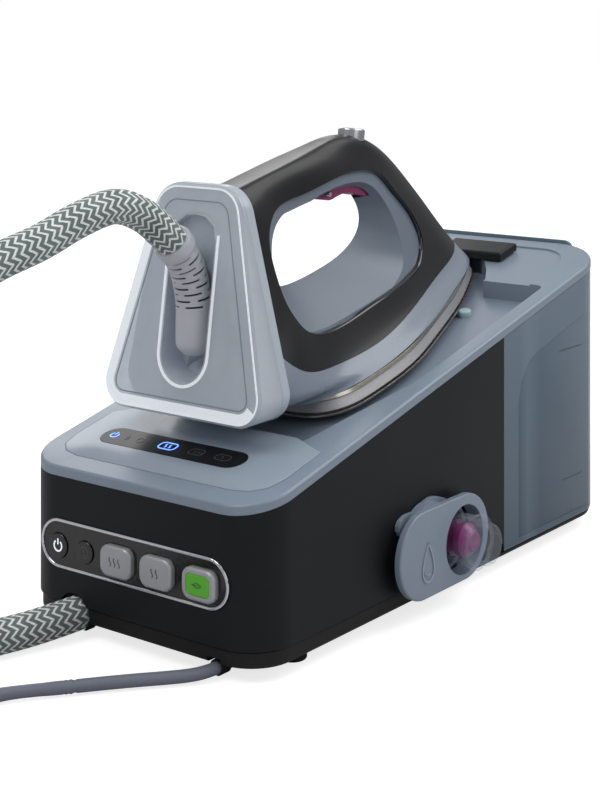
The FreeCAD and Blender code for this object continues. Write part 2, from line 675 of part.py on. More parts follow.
# ---------------------------------------------------------------- hose and mains cord
# centre lines (x, y, z)
HOSE_LOWER = [
    (-51, -168, 24.6), (-51, -184, 19.4), (-51, -201, 13.9), (-51, -209, 13.5),
    (-51.5, -217, 13.2), (-58, -246, 11.6), (-68, -285, 11.4), (-72, -330, 11.4),
    (-68, -385, 13), (-52, -430, 27), (-35, -458, 62), (-20, -466, 105)]
HOSE_UPPER = [
    (0, -192.0, 253.6), (0, -206, 263.0), (0, -230, 271), (0, -260, 266), (0, -291, 256),
    (0, -325, 248), (-2, -368, 232), (-7, -412, 201), (-13, -447, 158), (-19.7, -465.4, 107)]
CORD = [
    (62, -182, 6.0), (62, -193, 6.0), (62, -203, 6.0), (61.9, -212, 5.9), (59, -222, 5.4),
    (51, -233, 4.9), (38, -248, 4.8), (21, -269, 4.8), (4, -291, 4.8), (-11, -313, 4.8),
    (-15, -330, 4.8), (-10, -346, 5.4), (3, -358, 8.0), (14.5, -367, 12.0),
    (19.5, -376, 14.2), (20, -384.3, 14.5)]
PLUG = (20.0, -385.0, 14.5)     # centre of the plug's cord end; the plug points to -Y


def hose_lower():
    return spline_pipe(HOSE_LOWER, HOSE_R)


def hose_upper():
    return spline_pipe(HOSE_UPPER, HOSE_R)


def mains_cord():
    return spline_pipe(CORD, CORD_R)


def cord_bushings():
    hose_ring = without(cyl_y(HOSE_X, FRONT_Y + 3.0, HOSE_Z, 12.6, 7.0),
                        cyl_y(HOSE_X, FRONT_Y, HOSE_Z, HOSE_R + 0.6, 20),
                        box(HOSE_X - 27, HOSE_X + 33, FRONT_Y, FRONT_Y + 20, 0, 4.0))
    cord_ring = cyl_y(CORD_X, FRONT_Y + 4.0, CORD_Z, 4.9, 8.0).cut(
        cyl_y(CORD_X, FRONT_Y, CORD_Z, CORD_R + 0.2, 20))
    return Part.makeCompound([hose_ring, cord_ring.common(box(50, 75, -300, 300, 1.4, 12.3))])


def plug_cylinder(dx, dy, radius, length):
    x, y, z = PLUG
    return cylinder((x + dx, y - dy, z), (0, -1, 0), radius, length)


def plug_body():
    cone = Part.makeCone(5.0, 12.5, 26.0, Vec(*PLUG), Vec(0, -1, 0))
    return fused(cone, plug_cylinder(0, 25.9, 12.5, 8),
                 plug_cylinder(0, 33.5, 14.0, 9)).removeSplitter()


def plug_pins():
    return Part.makeCompound([
        fillet(plug_cylinder(dx, 42.52, 2.4, 18.9), 1.0,
               lambda span: span.YMax < PLUG[1] - 61.3) for dx in (-9.5, 9.5)])


# ================================================================ IRON
# built in its own frame: soleplate on z = 0, nose towards +Y, then tilted into the cradle
def tilt(shape):
    tilted = shape.copy()
    tilted.rotate(Vec(0, 0, 0), Vec(1, 0, 0), TILT)
    tilted.translate(Vec(0, 0, SOLE_Z))
    return tilted


def to_iron_frame(point):
    angle = math.radians(TILT)
    x, y, z = point
    z -= SOLE_Z
    return (x, y * math.cos(angle) + z * math.sin(angle),
            -y * math.sin(angle) + z * math.cos(angle))


def mirror_loop(half):
    """Close a half outline that starts and ends on x = 0."""
    return half + [(-x, y) for x, y in reversed(half[1:-1])]


# ---------------------------------------------------------------- sole
SOLE_REAR, SOLE_FRONT = -95.0, 172.0
HUMP_TOP = 17.0
# half outlines (x, y) from the rear to the nose
SOLE = [(0, SOLE_REAR), (25, SOLE_REAR - 0.5), (44, -91), (55, -80), (62.0, -47), (61, -2),
        (50.5, 46), (32, 110), (17, 147), (6, 167), (0, SOLE_FRONT)]
CASTING_HUMP = [(0, -70), (30, -70), (40, -60), (40, 20), (26, 80), (12, 112), (0, 120)]
SHIELD_OPENING = [(0, -84), (38, -83), (48, -72), (53, -46), (51, 0), (40, 46), (24, 98),
                  (10, 132), (0, 146)]
# rows of steam holes: y, then each x
STEAM_HOLES = [(120, (-14, 14)), (95, (-24, 0, 24)), (60, (-34, -14, 14, 34)),
               (20, (-44, 44)), (-20, (-46, 46)), (-55, (-44, 44))]


def sole_wire(inset, z):
    """Sole outline, each point moved inwards square to its neighbours' chord."""
    before = [(-SOLE[1][0], SOLE[1][1])] + SOLE[:-1]
    after = SOLE[1:] + [(-SOLE[-2][0], SOLE[-2][1])]
    half = []
    for (x, y), start, end in zip(SOLE, before, after):
        dx, dy = end[0] - start[0], end[1] - start[1]
        chord = math.hypot(dx, dy)
        half.append((x - inset * dy / chord, y + inset * dx / chord))
    half[0] = (0, SOLE_REAR + inset)
    half[-1] = (0, SOLE_FRONT - inset * 1.3)
    return closed_wire([(x, y, z) for x, y in mirror_loop(half)])


def sole_slab(inset0, z0, inset1, z1):
    return Part.makeLoft([sole_wire(inset0, z0), sole_wire(inset1, z1)], True, False)


def sole_plate():
    plate = sole_slab(0.8, 0.0, 0.0, 0.8).fuse(sole_slab(0.0, 0.8, 0.3, 1.8)).removeSplitter()
    holes = [cyl_z(x, y, -1, 1.6, 4) for y, row in STEAM_HOLES for x in row]
    return plate.cut(Part.makeCompound(holes))


def sole_casting():
    casting = fused(sole_slab(4.0, 1.85, 4.0, 3.6), sole_slab(1.0, 3.5, 4.2, 9.8),
                    prism_xy(mirror_loop(CASTING_HUMP), 9.0, HUMP_TOP - 9.0))
    return casting.cut(cyl_z(0, -50, 12, 4.0, 10)).removeSplitter()


def heat_shield():
    return sole_slab(4.75, 9.9, 4.75, 13.0).cut(
        prism_xy(mirror_loop(SHIELD_OPENING), 9.0, 6.0))


def trim_ring():
    return sole_slab(2.3, 10.8, 3.2, 13.2).cut(sole_slab(4.65, 9.0, 4.65, 14.0))


# ---------------------------------------------------------------- body
# places of the outline points along a section, as fractions from the rear to the front
STATIONS = (0.0, 0.0, 0.012, 0.053, 0.20, 0.42, 0.62, 0.78, 0.90, 0.972, 1.0)
# level sections: z, rear y, front y, half widths at fractions 0.053 to 0.78
SECTIONS = [
    (13.6, -104, 167, 50, 58.5, 55.0, 43.0, 29.5),
    (20, -120, 162, 50, 54.0, 50.0, 39.0, 26.0),
    (30, -139, 153, 53, 50.0, 43.5, 34.0, 23.0),
    (45, -137, 141, 50, 44.5, 37.0, 30.0, 20.5),
    (75, -125, 119, 38.5, 33.0, 27.0, 24.0, 18.0),
    (105, -117, 96, 29, 26.0, 22.0, 20.5, 16.5),
    (135, -112, 66, 22, 20.5, 19.0, 18.0, 14.5),
    (148, -108, 44, 17, 16.5, 16.0, 15.0, 12.5),
    (154.5, -103, 12, 7.5, 7.5, 7.5, 7.0, 5.5)]
INNER_START = (-5.0, 12, 3, 0, 2.5, 2.5, 2, 2)      # added to the first section
INNER_CROWN = [                                     # in place of the last two
    (146.3, -107, 44, 16.5, 16.0, 15.5, 14.5, 12.5),
    (151.2, -104, 24, 9.5, 9.5, 9.5, 9.0, 7.5)]

# outlines (y, z): lower edge of the handle shell, handle opening, its narrowest part
RING_LOW = [
    (-106, 170), (-108, 154), (-112, 132), (-113.5, 106), (-115, 91), (-119.5, 73),
    (-121, 59), (-115, 47), (-99, 36.5), (-71, 29), (-30, 24.5), (21, 24.5), (64, 25.8),
    (106, 27), (131, 28), (150, 31), (175, 40)]
OPENING = [
    (-83, 129), (-91.5, 119), (-96, 98), (-96.5, 77), (-89.5, 60), (-74, 50.2), (-52, 45),
    (0, 42.6), (49, 40.6), (79, 43), (91, 54), (88, 73), (69, 99.5), (54, 117), (35, 126),
    (4, 132.5), (-40, 134), (-70, 134.5)]
THROAT = [
    (-76, 108), (-77, 97), (-73, 84), (-64, 76), (-45, 71), (-14, 69.5), (8, 70.5), (26, 75),
    (37, 83), (40, 93), (36, 104), (25, 112.0), (8, 116.0), (-20, 118), (-48, 119), (-66, 117)]

STEAM_BUTTON_Y, STEAM_BUTTON_Z = 43.5, 146.4    # button foot on the nose of the grip
STEAM_BUTTON_LEAN = math.radians(21.5)
TRIGGER_PIN_Y, TRIGGER_PIN_Z = -3.0, 120.2


def body_section(row, inset):
    z, rear, front, half_rear, half_a, half_b, half_c, half_front = row
    rear, front = rear + inset, front - inset
    blunt = min(max((z - 118.0) / 28.0, 0.0), 1.0)      # blunter nose towards the crown
    widths = (0, 0.52 * half_rear, 0.86 * half_rear, half_rear, half_a, half_b, half_c,
              half_front, (0.64 + 0.22 * blunt) * half_front,
              (0.30 + 0.28 * blunt) * half_front, 0)
    half = [(max(width - inset, 0.5 * width) if width else 0.0,
             rear + place * (front - rear)) for width, place in zip(widths, STATIONS)]
    return closed_wire([(x, y, z) for x, y in mirror_loop(half)])


def body(rows, inset):
    return Part.makeLoft([body_section(row, inset) for row in rows], True, False)


# the inner skin starts lower and stops below the crown
INNER_ROWS = ([tuple(a + b for a, b in zip(SECTIONS[0], INNER_START))]
              + SECTIONS[:-2] + INNER_CROWN)
OUTER_BODY = body(SECTIONS, 0.0)
INNER_BODY = body(INNER_ROWS, 3.0)


def yz_prism(points, x0, x1):
    """Closed spline through (y, z) points, extruded along X."""
    wire = closed_wire([(x0, y, z) for y, z in points])
    return Part.Face(wire).extrude(Vec(x1 - x0, 0, 0))


def handle_zone():
    """Everything above the line between skirt and handle."""
    lower = [(-90, y, z) for y, z in RING_LOW]
    corners = [Vec(*p) for p in (lower[-1], (-90, 175, 190), (-90, -103, 190), lower[0])]
    lines = [Part.makeLine(corners[i], corners[i + 1]) for i in range(3)]
    return Part.Face(Part.Wire([spline(lower).toShape()] + lines)).extrude(Vec(180, 0, 0))


def on_steam_button(height, radius, length):
    dy, dz = math.sin(STEAM_BUTTON_LEAN), math.cos(STEAM_BUTTON_LEAN)
    return cylinder((0, STEAM_BUTTON_Y + height * dy, STEAM_BUTTON_Z + height * dz),
                    (0, dy, dz), radius, length)


def steam_button_hole():
    return on_steam_button(-12, 9.9, 30)


def drop_slivers(shape):
    return Part.makeCompound([s for s in shape.Solids if s.Volume > 500])


def handle_shell():
    return drop_slivers(without(OUTER_BODY.common(handle_zone()), INNER_BODY,
                                yz_prism(OPENING, -90, 90), steam_button_hole()))


def skirt_shell():
    return drop_slivers(without(OUTER_BODY, handle_zone(), INNER_BODY))


def resampled_wire(points, x, count=28, fine=800):
    """Closed spline sampled by angle about a fixed centre, so that lofts pair up."""
    centre_y, centre_z = -20.0, 93.0
    curve = spline([(0, y, z) for y, z in points], True)
    first, last = curve.FirstParameter, curve.LastParameter
    candidates = [curve.value(first + (last - first) * i / fine) for i in range(fine)]

    def miss(point, angle):
        actual = math.atan2(point.z - centre_z, (point.y - centre_y) * 0.55)
        return abs((actual - angle + math.pi) % (2 * math.pi) - math.pi)

    samples = []
    for k in range(count):
        angle = 2 * math.pi * k / count
        best = min(candidates, key=lambda point: miss(point, angle))
        samples.append((x, best.y, best.z))
    return closed_wire(samples)


def handle_liner():
    """Lining of the handle opening, waisted towards the throat at x = 0."""
    liner = INNER_BODY.common(yz_prism([(y * 0.997, z * 0.9995) for y, z in OPENING], -90, 90))
    left = resampled_wire(OPENING, -30.0)
    waist = resampled_wire(THROAT, 0.0)
    right = resampled_wire(OPENING, 30.0)
    return largest(without(
        liner,
        Part.makeLoft([left, waist], True, False),
        Part.makeLoft([waist, right], True, False),
        Part.Face(right).extrude(Vec(40, 0, 0)),
        Part.Face(left).extrude(Vec(-40, 0, 0)),
        box(-8.2, 8.2, -12, 52, 104, 131.5),        # trigger pocket
        steam_button_hole(),
        cyl_x(-11.1, TRIGGER_PIN_Y, TRIGGER_PIN_Z, 1.63, 22.2)))


# ---------------------------------------------------------------- trigger and steam button
TRIGGER_HALF_X = 7.2
# side outline (y, z)
TRIGGER = [(-6, 118.5), (-4, 116.5), (10, 114.8), (26, 111.5), (35, 107.0), (43, 104.6),
           (48.5, 107.0), (49.5, 112.0), (44, 117.0), (24, 119.5), (6, 122.5), (-4, 123.5),
           (-7.5, 121)]


def trigger():
    lever = yz_prism(TRIGGER, -TRIGGER_HALF_X, TRIGGER_HALF_X)
    lever = fillet(lever, 1.6, lambda span: near(abs(span.XMin), TRIGGER_HALF_X)
                   and near(span.XMin, span.XMax))
    return lever.cut(cyl_x(-10, TRIGGER_PIN_Y, TRIGGER_PIN_Z, 1.65, 20))


def trigger_pin():
    return cyl_x(-11, TRIGGER_PIN_Y, TRIGGER_PIN_Z, 1.6, 22.0)


def micro_switch():
    return box(-5, 5, -2, 18, 126.2, 131.2).fuse(
        box(-1.5, 1.5, 12, 16, 124.4, 126.3)).removeSplitter()


def trigger_spring():
    return coil((0, 36.5, 119.6), (0, 0, 1), radius=2.4, wire_r=0.35, length=11.2, turns=6)


def steam_button():
    cap = on_steam_button(-2.0, 9.5, 8.6)
    # the rim circle of the cap
    cap = round_edges(cap, 1.6, [edge for edge in cap.Edges if edge.BoundBox.ZMin > 146.0
                                 and len(edge.Vertexes) == 1])
    return cap.fuse(on_steam_button(-8.0, 3.0, 6.2)).removeSplitter()


# ---------------------------------------------------------------- heel and hose boot
HEEL_ORIGIN_Y, HEEL_ORIGIN_Z = -141.0, 28.0
HEEL_UP_Y, HEEL_UP_Z = 0.2272, 0.9739       # direction up along the heel plane
HEEL_LOW, HEEL_HIGH = -4.5, 138.5           # lower and upper edge along the plane
HEEL_LOW_X, HEEL_HIGH_X = 69.4, 32.6        # half widths there, before rounding
HEEL_LOW_R, HEEL_HIGH_R = 17.0, 21.0        # corner radii
HEEL_TAPER = (HEEL_LOW_X - HEEL_HIGH_X) / (HEEL_HIGH - HEEL_LOW)
HEEL_SLOT_R, HEEL_SLOT_LOW = 18.0, 34.5     # round bottom of the slot in the cover
# hose boot centre line (x, y, z), in the station frame
BOOT = [(0, -160.3, 171.5), (0, -160.4, 187), (0, -160.6, 206), (0, -166, 226),
        (0, -178.5, 243), (0, -190.6, 252.4)]
BOOT_LINE = [to_iron_frame(point) for point in BOOT]


def on_heel(x, along, out):
    """Point at a distance up the heel plane and a distance out of it."""
    return (x, HEEL_ORIGIN_Y + along * HEEL_UP_Y - out * HEEL_UP_Z,
            HEEL_ORIGIN_Z + along * HEEL_UP_Z + out * HEEL_UP_Y)


def unit(dx, dy):
    size = math.hypot(dx, dy)
    return dx / size, dy / size


def corner_arc(corner, before, after):
    """Start, middle and end of the arc that rounds a corner (x, along, radius)."""
    x, along, radius = corner
    to_before = unit(before[0] - x, before[1] - along)
    to_after = unit(after[0] - x, after[1] - along)
    bisector = unit(to_before[0] + to_after[0], to_before[1] + to_after[1])
    half_angle = math.acos(to_before[0] * to_after[0] + to_before[1] * to_after[1]) / 2
    tangent = radius / math.tan(half_angle)
    middle = radius / math.sin(half_angle) - radius
    return [(x + way[0] * reach, along + way[1] * reach)
            for way, reach in ((to_before, tangent), (bisector, middle), (to_after, tangent))]


def heel_wire(inset, out_low, out_high):
    """Round-cornered trapezoid; its distance out of the plane varies from edge to edge."""
    low, high = HEEL_LOW + inset, HEEL_HIGH - inset

    def half_width(along):
        return (HEEL_LOW_X - (along - HEEL_LOW) * HEEL_TAPER
                - inset * math.sqrt(1 + HEEL_TAPER * HEEL_TAPER))

    def place(x, along):
        share = (along - HEEL_LOW) / (HEEL_HIGH - HEEL_LOW)
        return Vec(*on_heel(x, along, out_low + (out_high - out_low) * share))

    low_r, high_r = HEEL_LOW_R - inset, HEEL_HIGH_R - inset
    corners = [(-half_width(low), low, low_r), (half_width(low), low, low_r),
               (half_width(high), high, high_r), (-half_width(high), high, high_r)]
    arcs = [[place(*point) for point in
             corner_arc(corners[k], corners[k - 1], corners[(k + 1) % 4])] for k in range(4)]
    edges = []
    for k, arc in enumerate(arcs):
        edges.append(Part.Arc(*arc).toShape())
        edges.append(Part.makeLine(arc[2], arcs[(k + 1) % 4][0]))
    return Part.Wire(edges)


def heel_loft(*stations):
    return Part.makeLoft([heel_wire(*station) for station in stations], True, True)


def heel_frame():
    frame = heel_loft((0.6, 0.4, 0.4), (0.0, 3.0, 3.0), (0.0, 8.0, 8.0)).cut(OUTER_BODY)
    x, y, z = BOOT_LINE[0]
    bore = spline_pipe([(x, y + 3.2, z - 14)] + BOOT_LINE[:4], 13.2)
    return largest(frame.cut(bore))


def heel_slot(scale, out, depth):
    """Upright slot with a round bottom, cut outwards from the heel plane."""
    outline = []
    for k in range(13):
        angle = math.pi + math.pi * k / 12
        outline.append((HEEL_SLOT_R * math.cos(angle),
                        HEEL_SLOT_LOW + HEEL_SLOT_R * math.sin(angle)))
    outline += [(18.0, 104), (15.5, 113), (8, 118.5), (0, 119.5), (-8, 118.5),
                (-15.5, 113), (-18.0, 104)]
    face = polygon_face([on_heel(x * scale, 60 + (along - 60) * (1 + (scale - 1) * 0.25), out)
                         for x, along in outline])
    return face.extrude(Vec(0, -HEEL_UP_Z * depth, HEEL_UP_Y * depth))


def heel_cover():
    """Clear hollow cover with a walled slot through it."""
    outer = heel_loft((0.0, 8.1, 8.1), (0.0, 30.9, 9.2), (1.8, 32.7, 10.8))
    inner = heel_loft((2.6, 8.0, 8.0), (2.6, 30.3, 8.6))
    channel = heel_slot(1.12, 8.1, 30).common(outer)
    return largest(outer.cut(inner).fuse(channel).cut(heel_slot(1.0, 7.0, 40)))


def hose_boot():
    return spline_pipe(BOOT_LINE, 11.8).fuse(
        Part.makeSphere(11.75, Vec(*BOOT_LINE[0]))).removeSplitter()


# ---------------------------------------------------------------- inside the iron
STEAM_INLET = [(0, -50, 14.0), (0, -50, 22), (0, -60, 32), (0, -85, 40), (0, -112, 44),
               (0, -132.4, 45)]


def steam_inlet():
    return spline_pipe(STEAM_INLET, 3.2)


def iron_thermostat():
    return cyl_z(0, 0, HUMP_TOP + 0.05, 11.0, 6.0).fuse(
        box(-3, 3, -14, 14, 20, 25)).removeSplitter()


def iron_screws():
    return Part.makeCompound([
        cyl_z(x, y, HUMP_TOP + 0.05, 3.4, 2.6).cut(
            box(x - 0.5, x + 0.5, y - 3.5, y + 3.5, 18.6, 20))
        for x, y in ((20, -30), (-20, -30), (0, 70))])


# ================================================================ OUTPUT
# each file is named after the function that builds its piece
STATION_PIECES = (
    base_pan, rubber_feet, base_screws, side_shell, top_deck, cradle_studs, console_cover,
    display_lens, panel_bezel, front_panel, eco_lamp, boiler, boiler_heater, circuit_boards,
    pump_body, pump_mounts, solenoid_valve, water_pipes, steam_pipe, tank_socket, socket_seal,
    water_tank, tank_lid, tank_valve, valve_spring, lock_slider, descale_cover,
    collector_socket, collector_cup, collector_core, hose_lower, hose_upper, mains_cord,
    cord_bushings, plug_body, plug_pins)
IRON_PIECES = (
    sole_plate, sole_casting, heat_shield, trim_ring, handle_shell, skirt_shell, handle_liner,
    trigger, trigger_pin, micro_switch, trigger_spring, steam_button, heel_frame, heel_cover,
    hose_boot, steam_inlet, iron_thermostat, iron_screws)

for build in STATION_PIECES:
    save(build.__name__, build())
for button_name in MODE_BUTTONS:
    save(button_name, mode_button(button_name))
for button_name in ROUND_BUTTONS:
    save(button_name, round_button(button_name))
for build in IRON_PIECES:
    save(build.__name__, tilt(build()))
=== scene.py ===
import math
import random

import bmesh
import bpy
import numpy as np
from mathutils import Matrix, Vector
from mathutils.bvhtree import BVHTree


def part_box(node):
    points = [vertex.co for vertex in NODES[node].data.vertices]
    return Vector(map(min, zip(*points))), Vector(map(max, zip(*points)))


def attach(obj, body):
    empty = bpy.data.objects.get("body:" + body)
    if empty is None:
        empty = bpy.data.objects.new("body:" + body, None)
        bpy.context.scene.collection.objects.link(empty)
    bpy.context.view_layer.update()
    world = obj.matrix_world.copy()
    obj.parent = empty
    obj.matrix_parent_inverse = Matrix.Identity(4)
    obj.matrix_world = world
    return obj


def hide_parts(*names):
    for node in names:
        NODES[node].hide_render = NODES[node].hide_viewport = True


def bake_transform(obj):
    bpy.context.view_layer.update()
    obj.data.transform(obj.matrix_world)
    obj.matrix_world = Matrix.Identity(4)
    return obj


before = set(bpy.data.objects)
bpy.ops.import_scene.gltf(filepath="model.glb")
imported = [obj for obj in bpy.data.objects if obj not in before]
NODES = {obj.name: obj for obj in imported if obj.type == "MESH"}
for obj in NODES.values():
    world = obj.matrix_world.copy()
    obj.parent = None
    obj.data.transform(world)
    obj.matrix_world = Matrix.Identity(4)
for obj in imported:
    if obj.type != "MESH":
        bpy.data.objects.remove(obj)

scene = bpy.context.scene


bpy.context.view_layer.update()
rnd = random.Random(7)

# --------------------------------------------------------------- frame of the iron
TH = math.atan(0.241)
OZ = 0.145815


def tl(x, y, z):
    """Point in the iron's own frame (mm, soleplate on z = 0, nose to +Y) to the row frame in metres."""
    x, y, z = x / 1000, y / 1000, z / 1000
    return Vector((x, y * math.cos(TH) - z * math.sin(TH), OZ + y * math.sin(TH) + z * math.cos(TH)))


def tdir(x, y, z):
    return Vector((x, y * math.cos(TH) - z * math.sin(TH), y * math.sin(TH) + z * math.cos(TH)))


# --------------------------------------------------------------- materials
def srgb(r, g, b):
    f = lambda c: c / 12.92 if c <= 0.04045 else ((c + 0.055) / 1.055) ** 2.4
    return (f(r / 255), f(g / 255), f(b / 255), 1.0)


class Nodes:
    def __init__(self, name):
        self.m = bpy.data.materials.new(name)
        self.m.use_nodes = True
        self.t = self.m.node_tree
        self.t.nodes.clear()
        self.out = self.t.nodes.new("ShaderNodeOutputMaterial")
        self.coord = self.t.nodes.new("ShaderNodeTexCoord")

    def add(self, kind, **values):
        n = self.t.nodes.new(kind)
        for k, v in values.items():
            if k.startswith("_"):
                setattr(n, k[1:], v)
        for k, v in values.items():
            if not k.startswith("_"):
                n.inputs[k.replace("__", " ")].default_value = v
        return n

    def link(self, a, b):
        self.t.links.new(a, b)

    def noise(self, scale, detail=3.0, rough=0.55, source=None):
        n = self.add("ShaderNodeTexNoise", Scale=scale, Detail=detail, Roughness=rough)
        self.link(source or self.coord.outputs["Object"], n.inputs["Vector"])
        return n

    def ramp(self, fac, stops):
        n = self.t.nodes.new("ShaderNodeValToRGB")
        els = n.color_ramp.elements
        while len(els) < len(stops):
            els.new(0.5)
        for e, (p, c) in zip(els, stops):
            e.position = p
            e.color = c
        self.link(fac, n.inputs["Fac"])
        return n

    def range(self, value, a, b, c, d):
        n = self.add("ShaderNodeMapRange")
        for i, v in zip((1, 2, 3, 4), (a, b, c, d)):
            n.inputs[i].default_value = v
        self.link(value, n.inputs[0])
        return n.outputs[0]

    def math(self, op, a, b=None, clamp=False):
        n = self.t.nodes.new("ShaderNodeMath")
        n.operation = op
        n.use_clamp = clamp
        for i, v in enumerate((a, b)):
            if v is None:
                continue
            if isinstance(v, (int, float)):
                n.inputs[i].default_value = v
            else:
                self.link(v, n.inputs[i])
        return n.outputs[0]

    def mix(self, fac, a, b, mode="MIX"):
        n = self.t.nodes.new("ShaderNodeMix")
        n.data_type = "RGBA"
        n.blend_type = mode
        for s, v in (("Factor", fac), ("A", a), ("B", b)):
            sock = [i for i in n.inputs if i.name == s and (i.type == "RGBA" or s == "Factor")][0]
            if isinstance(v, (int, float, tuple)):
                sock.default_value = v
            else:
                self.link(v, sock)
        return [o for o in n.outputs if o.type == "RGBA"][0]


def plastic(name, color, rough=0.42, mottle=0.05, grain=900, grain_depth=0.00003, coat=0.0, coat_rough=0.08,
            spec=0.5, metallic=0.0, rough_var=0.05, bevel=0.0005, transmission=0.0, alpha=1.0, sheen=0.0, streak=None,
            emission=None, strength=0.0, sss=0.0):
    n = Nodes(name)
    big = n.noise(9.0, 2.0)
    small = n.noise(grain, 3.0, 0.6)
    base = Vector(color[:3])
    lo = tuple(base * (1 - mottle)) + (1.0,)
    hi = tuple(Vector([min(1.0, c * (1 + mottle)) for c in base])) + (1.0,)
    col = n.ramp(big.outputs["Fac"], [(0.3, lo), (0.7, hi)]).outputs["Color"]
    fleck = n.range(small.outputs["Fac"], 0.35, 0.65, 0.96, 1.04)
    comb = n.t.nodes.new("ShaderNodeCombineColor")
    for i in range(3):
        n.link(fleck, comb.inputs[i])
    col = n.mix(1.0, col, comb.outputs[0], "MULTIPLY")
    p = n.add("ShaderNodeBsdfPrincipled", Metallic=metallic)
    p.inputs["Specular IOR Level"].default_value = spec
    p.inputs["Coat Weight"].default_value = coat
    p.inputs["Coat Roughness"].default_value = coat_rough
    p.inputs["Transmission Weight"].default_value = transmission
    p.inputs["Alpha"].default_value = alpha
    if sss:
        p.inputs["Subsurface Weight"].default_value = sss
        p.inputs["Subsurface Radius"].default_value = (0.002, 0.002, 0.0025)
    if sheen:
        p.inputs["Sheen Weight"].default_value = sheen
    if emission:
        p.inputs["Emission Color"].default_value = emission
        p.inputs["Emission Strength"].default_value = strength
    n.link(col, p.inputs["Base Color"])
    n.link(n.range(big.outputs["Fac"], 0.3, 0.7, max(0.02, rough - rough_var), rough + rough_var), p.inputs["Roughness"])
    bump = n.add("ShaderNodeBump", Strength=1.0, Distance=grain_depth)
    src = small.outputs["Fac"]
    if streak:
        mp = n.add("ShaderNodeMapping")
        mp.inputs["Scale"].default_value = streak
        n.link(n.coord.outputs["Object"], mp.inputs["Vector"])
        st = n.noise(1.0, 4.0, 0.7, mp.outputs["Vector"])
        src = st.outputs["Fac"]
        n.link(n.range(src, 0.3, 0.7, max(0.02, rough - 0.08), rough + 0.1), p.inputs["Roughness"])
    n.link(src, bump.inputs["Height"])
    if bevel:
        bv = n.t.nodes.new("ShaderNodeBevel")
        bv.samples = 4
        bv.inputs["Radius"].default_value = bevel
        n.link(bv.outputs["Normal"], bump.inputs["Normal"])
    n.link(bump.outputs["Normal"], p.inputs["Normal"])
    n.link(p.outputs["BSDF"], n.out.inputs["Surface"])
    n.p = p
    n.col = col
    return n


M = {}


def reg(key, n):
    M[key] = n.m
    return n


reg("shell_black", plastic("satin_anthracite", srgb(17, 19, 22), rough=0.46, grain=1400, grain_depth=0.00002, spec=0.25, mottle=0.06))
reg("pan_black", plastic("pan_anthracite", srgb(20, 20, 22), rough=0.52, grain=1200, grain_depth=0.00003, spec=0.32))
reg("deck_grey", plastic("blue_grey_deck", srgb(128, 141, 156), rough=0.33, grain=1500, grain_depth=0.000012, mottle=0.025, spec=0.5, coat=0.15, coat_rough=0.2))
reg("console_grey", plastic("blue_grey_console", srgb(146, 158, 171), rough=0.30, grain=1500, grain_depth=0.000012, mottle=0.02, spec=0.5, coat=0.2, coat_rough=0.16))
reg("skirt_grey", plastic("blue_grey_skirt", srgb(128, 139, 152), rough=0.28, grain=1500, grain_depth=0.000008, mottle=0.02, coat=0.25, coat_rough=0.14))
reg("liner_grey", plastic("blue_grey_liner", srgb(110, 121, 134), rough=0.36, grain=1600, grain_depth=0.00001, mottle=0.02))
reg("frame_grey", plastic("blue_grey_heel", srgb(178, 187, 198), rough=0.30, grain=1500, grain_depth=0.00001, mottle=0.02, coat=0.2))
reg("handle_black", plastic("handle_black", srgb(15, 16, 19), rough=0.38, grain=1900, grain_depth=0.000012, spec=0.34, coat=0.10, coat_rough=0.2, mottle=0.05))
reg("lens_black", plastic("display_gloss", srgb(20, 19, 20), rough=0.22, grain=300, grain_depth=0.000003, spec=0.22, rough_var=0.02, bevel=0.0003))
reg("gloss_black", plastic("gloss_black", srgb(10, 10, 12), rough=0.06, grain=300, grain_depth=0.000003, spec=0.5, coat=0.6, coat_rough=0.03, rough_var=0.02, bevel=0.0003))
reg("panel_gloss", plastic("panel_gloss", srgb(14, 12, 13), rough=0.10, grain=300, grain_depth=0.000004, spec=0.5, coat=0.5, coat_rough=0.05, rough_var=0.02, bevel=0.0003))
reg("chrome_trim", plastic("plated_trim", srgb(225, 226, 230), rough=0.10, metallic=1.0, grain=700, grain_depth=0.000004, rough_var=0.03, mottle=0.02, bevel=0.0003))
reg("key_silver", plastic("key_silver", srgb(172, 173, 176), rough=0.34, metallic=0.35, grain=2600, grain_depth=0.00002, mottle=0.04, bevel=0.0006))
reg("lamp_green", plastic("lamp_green", srgb(84, 158, 44), rough=0.3, grain=1200, grain_depth=0.00001, emission=srgb(80, 190, 40), strength=0.12, mottle=0.08))
reg("rubber_black", plastic("moulded_rubber", srgb(28, 28, 30), rough=0.72, grain=1700, grain_depth=0.00005, spec=0.3))
reg("steel", plastic("turned_steel", srgb(190, 190, 192), rough=0.28, metallic=1.0, grain=800, streak=(60, 60, 4000), grain_depth=0.00001))
reg("brushed_button", plastic("brushed_button", srgb(196, 198, 203), rough=0.24, metallic=1.0, streak=(3500, 3500, 60), grain_depth=0.00001, bevel=0.0004))
reg("polished_plate", plastic("polished_plate", srgb(188, 182, 174), rough=0.24, metallic=1.0, streak=(40, 40, 5000), grain_depth=0.000012, bevel=0.0003))
reg("trim_metal", plastic("trim_metal", srgb(196, 190, 180), rough=0.2, metallic=1.0, streak=(40, 40, 5000), grain_depth=0.00001, bevel=0.0003))
reg("aluminium_cast", plastic("cast_alloy", srgb(176, 176, 178), rough=0.5, metallic=1.0, grain=500, grain_depth=0.00008))
reg("board_green", plastic("board_green", srgb(24, 84, 52), rough=0.4, grain=700, grain_depth=0.00003))
reg("pipe_white", plastic("pipe_white", srgb(220, 220, 214), rough=0.45, grain=900, grain_depth=0.00002, sss=0.1))
reg("brass_fit", plastic("turned_brass", srgb(200, 164, 90), rough=0.3, metallic=1.0, streak=(3000, 3000, 60), grain_depth=0.00001))
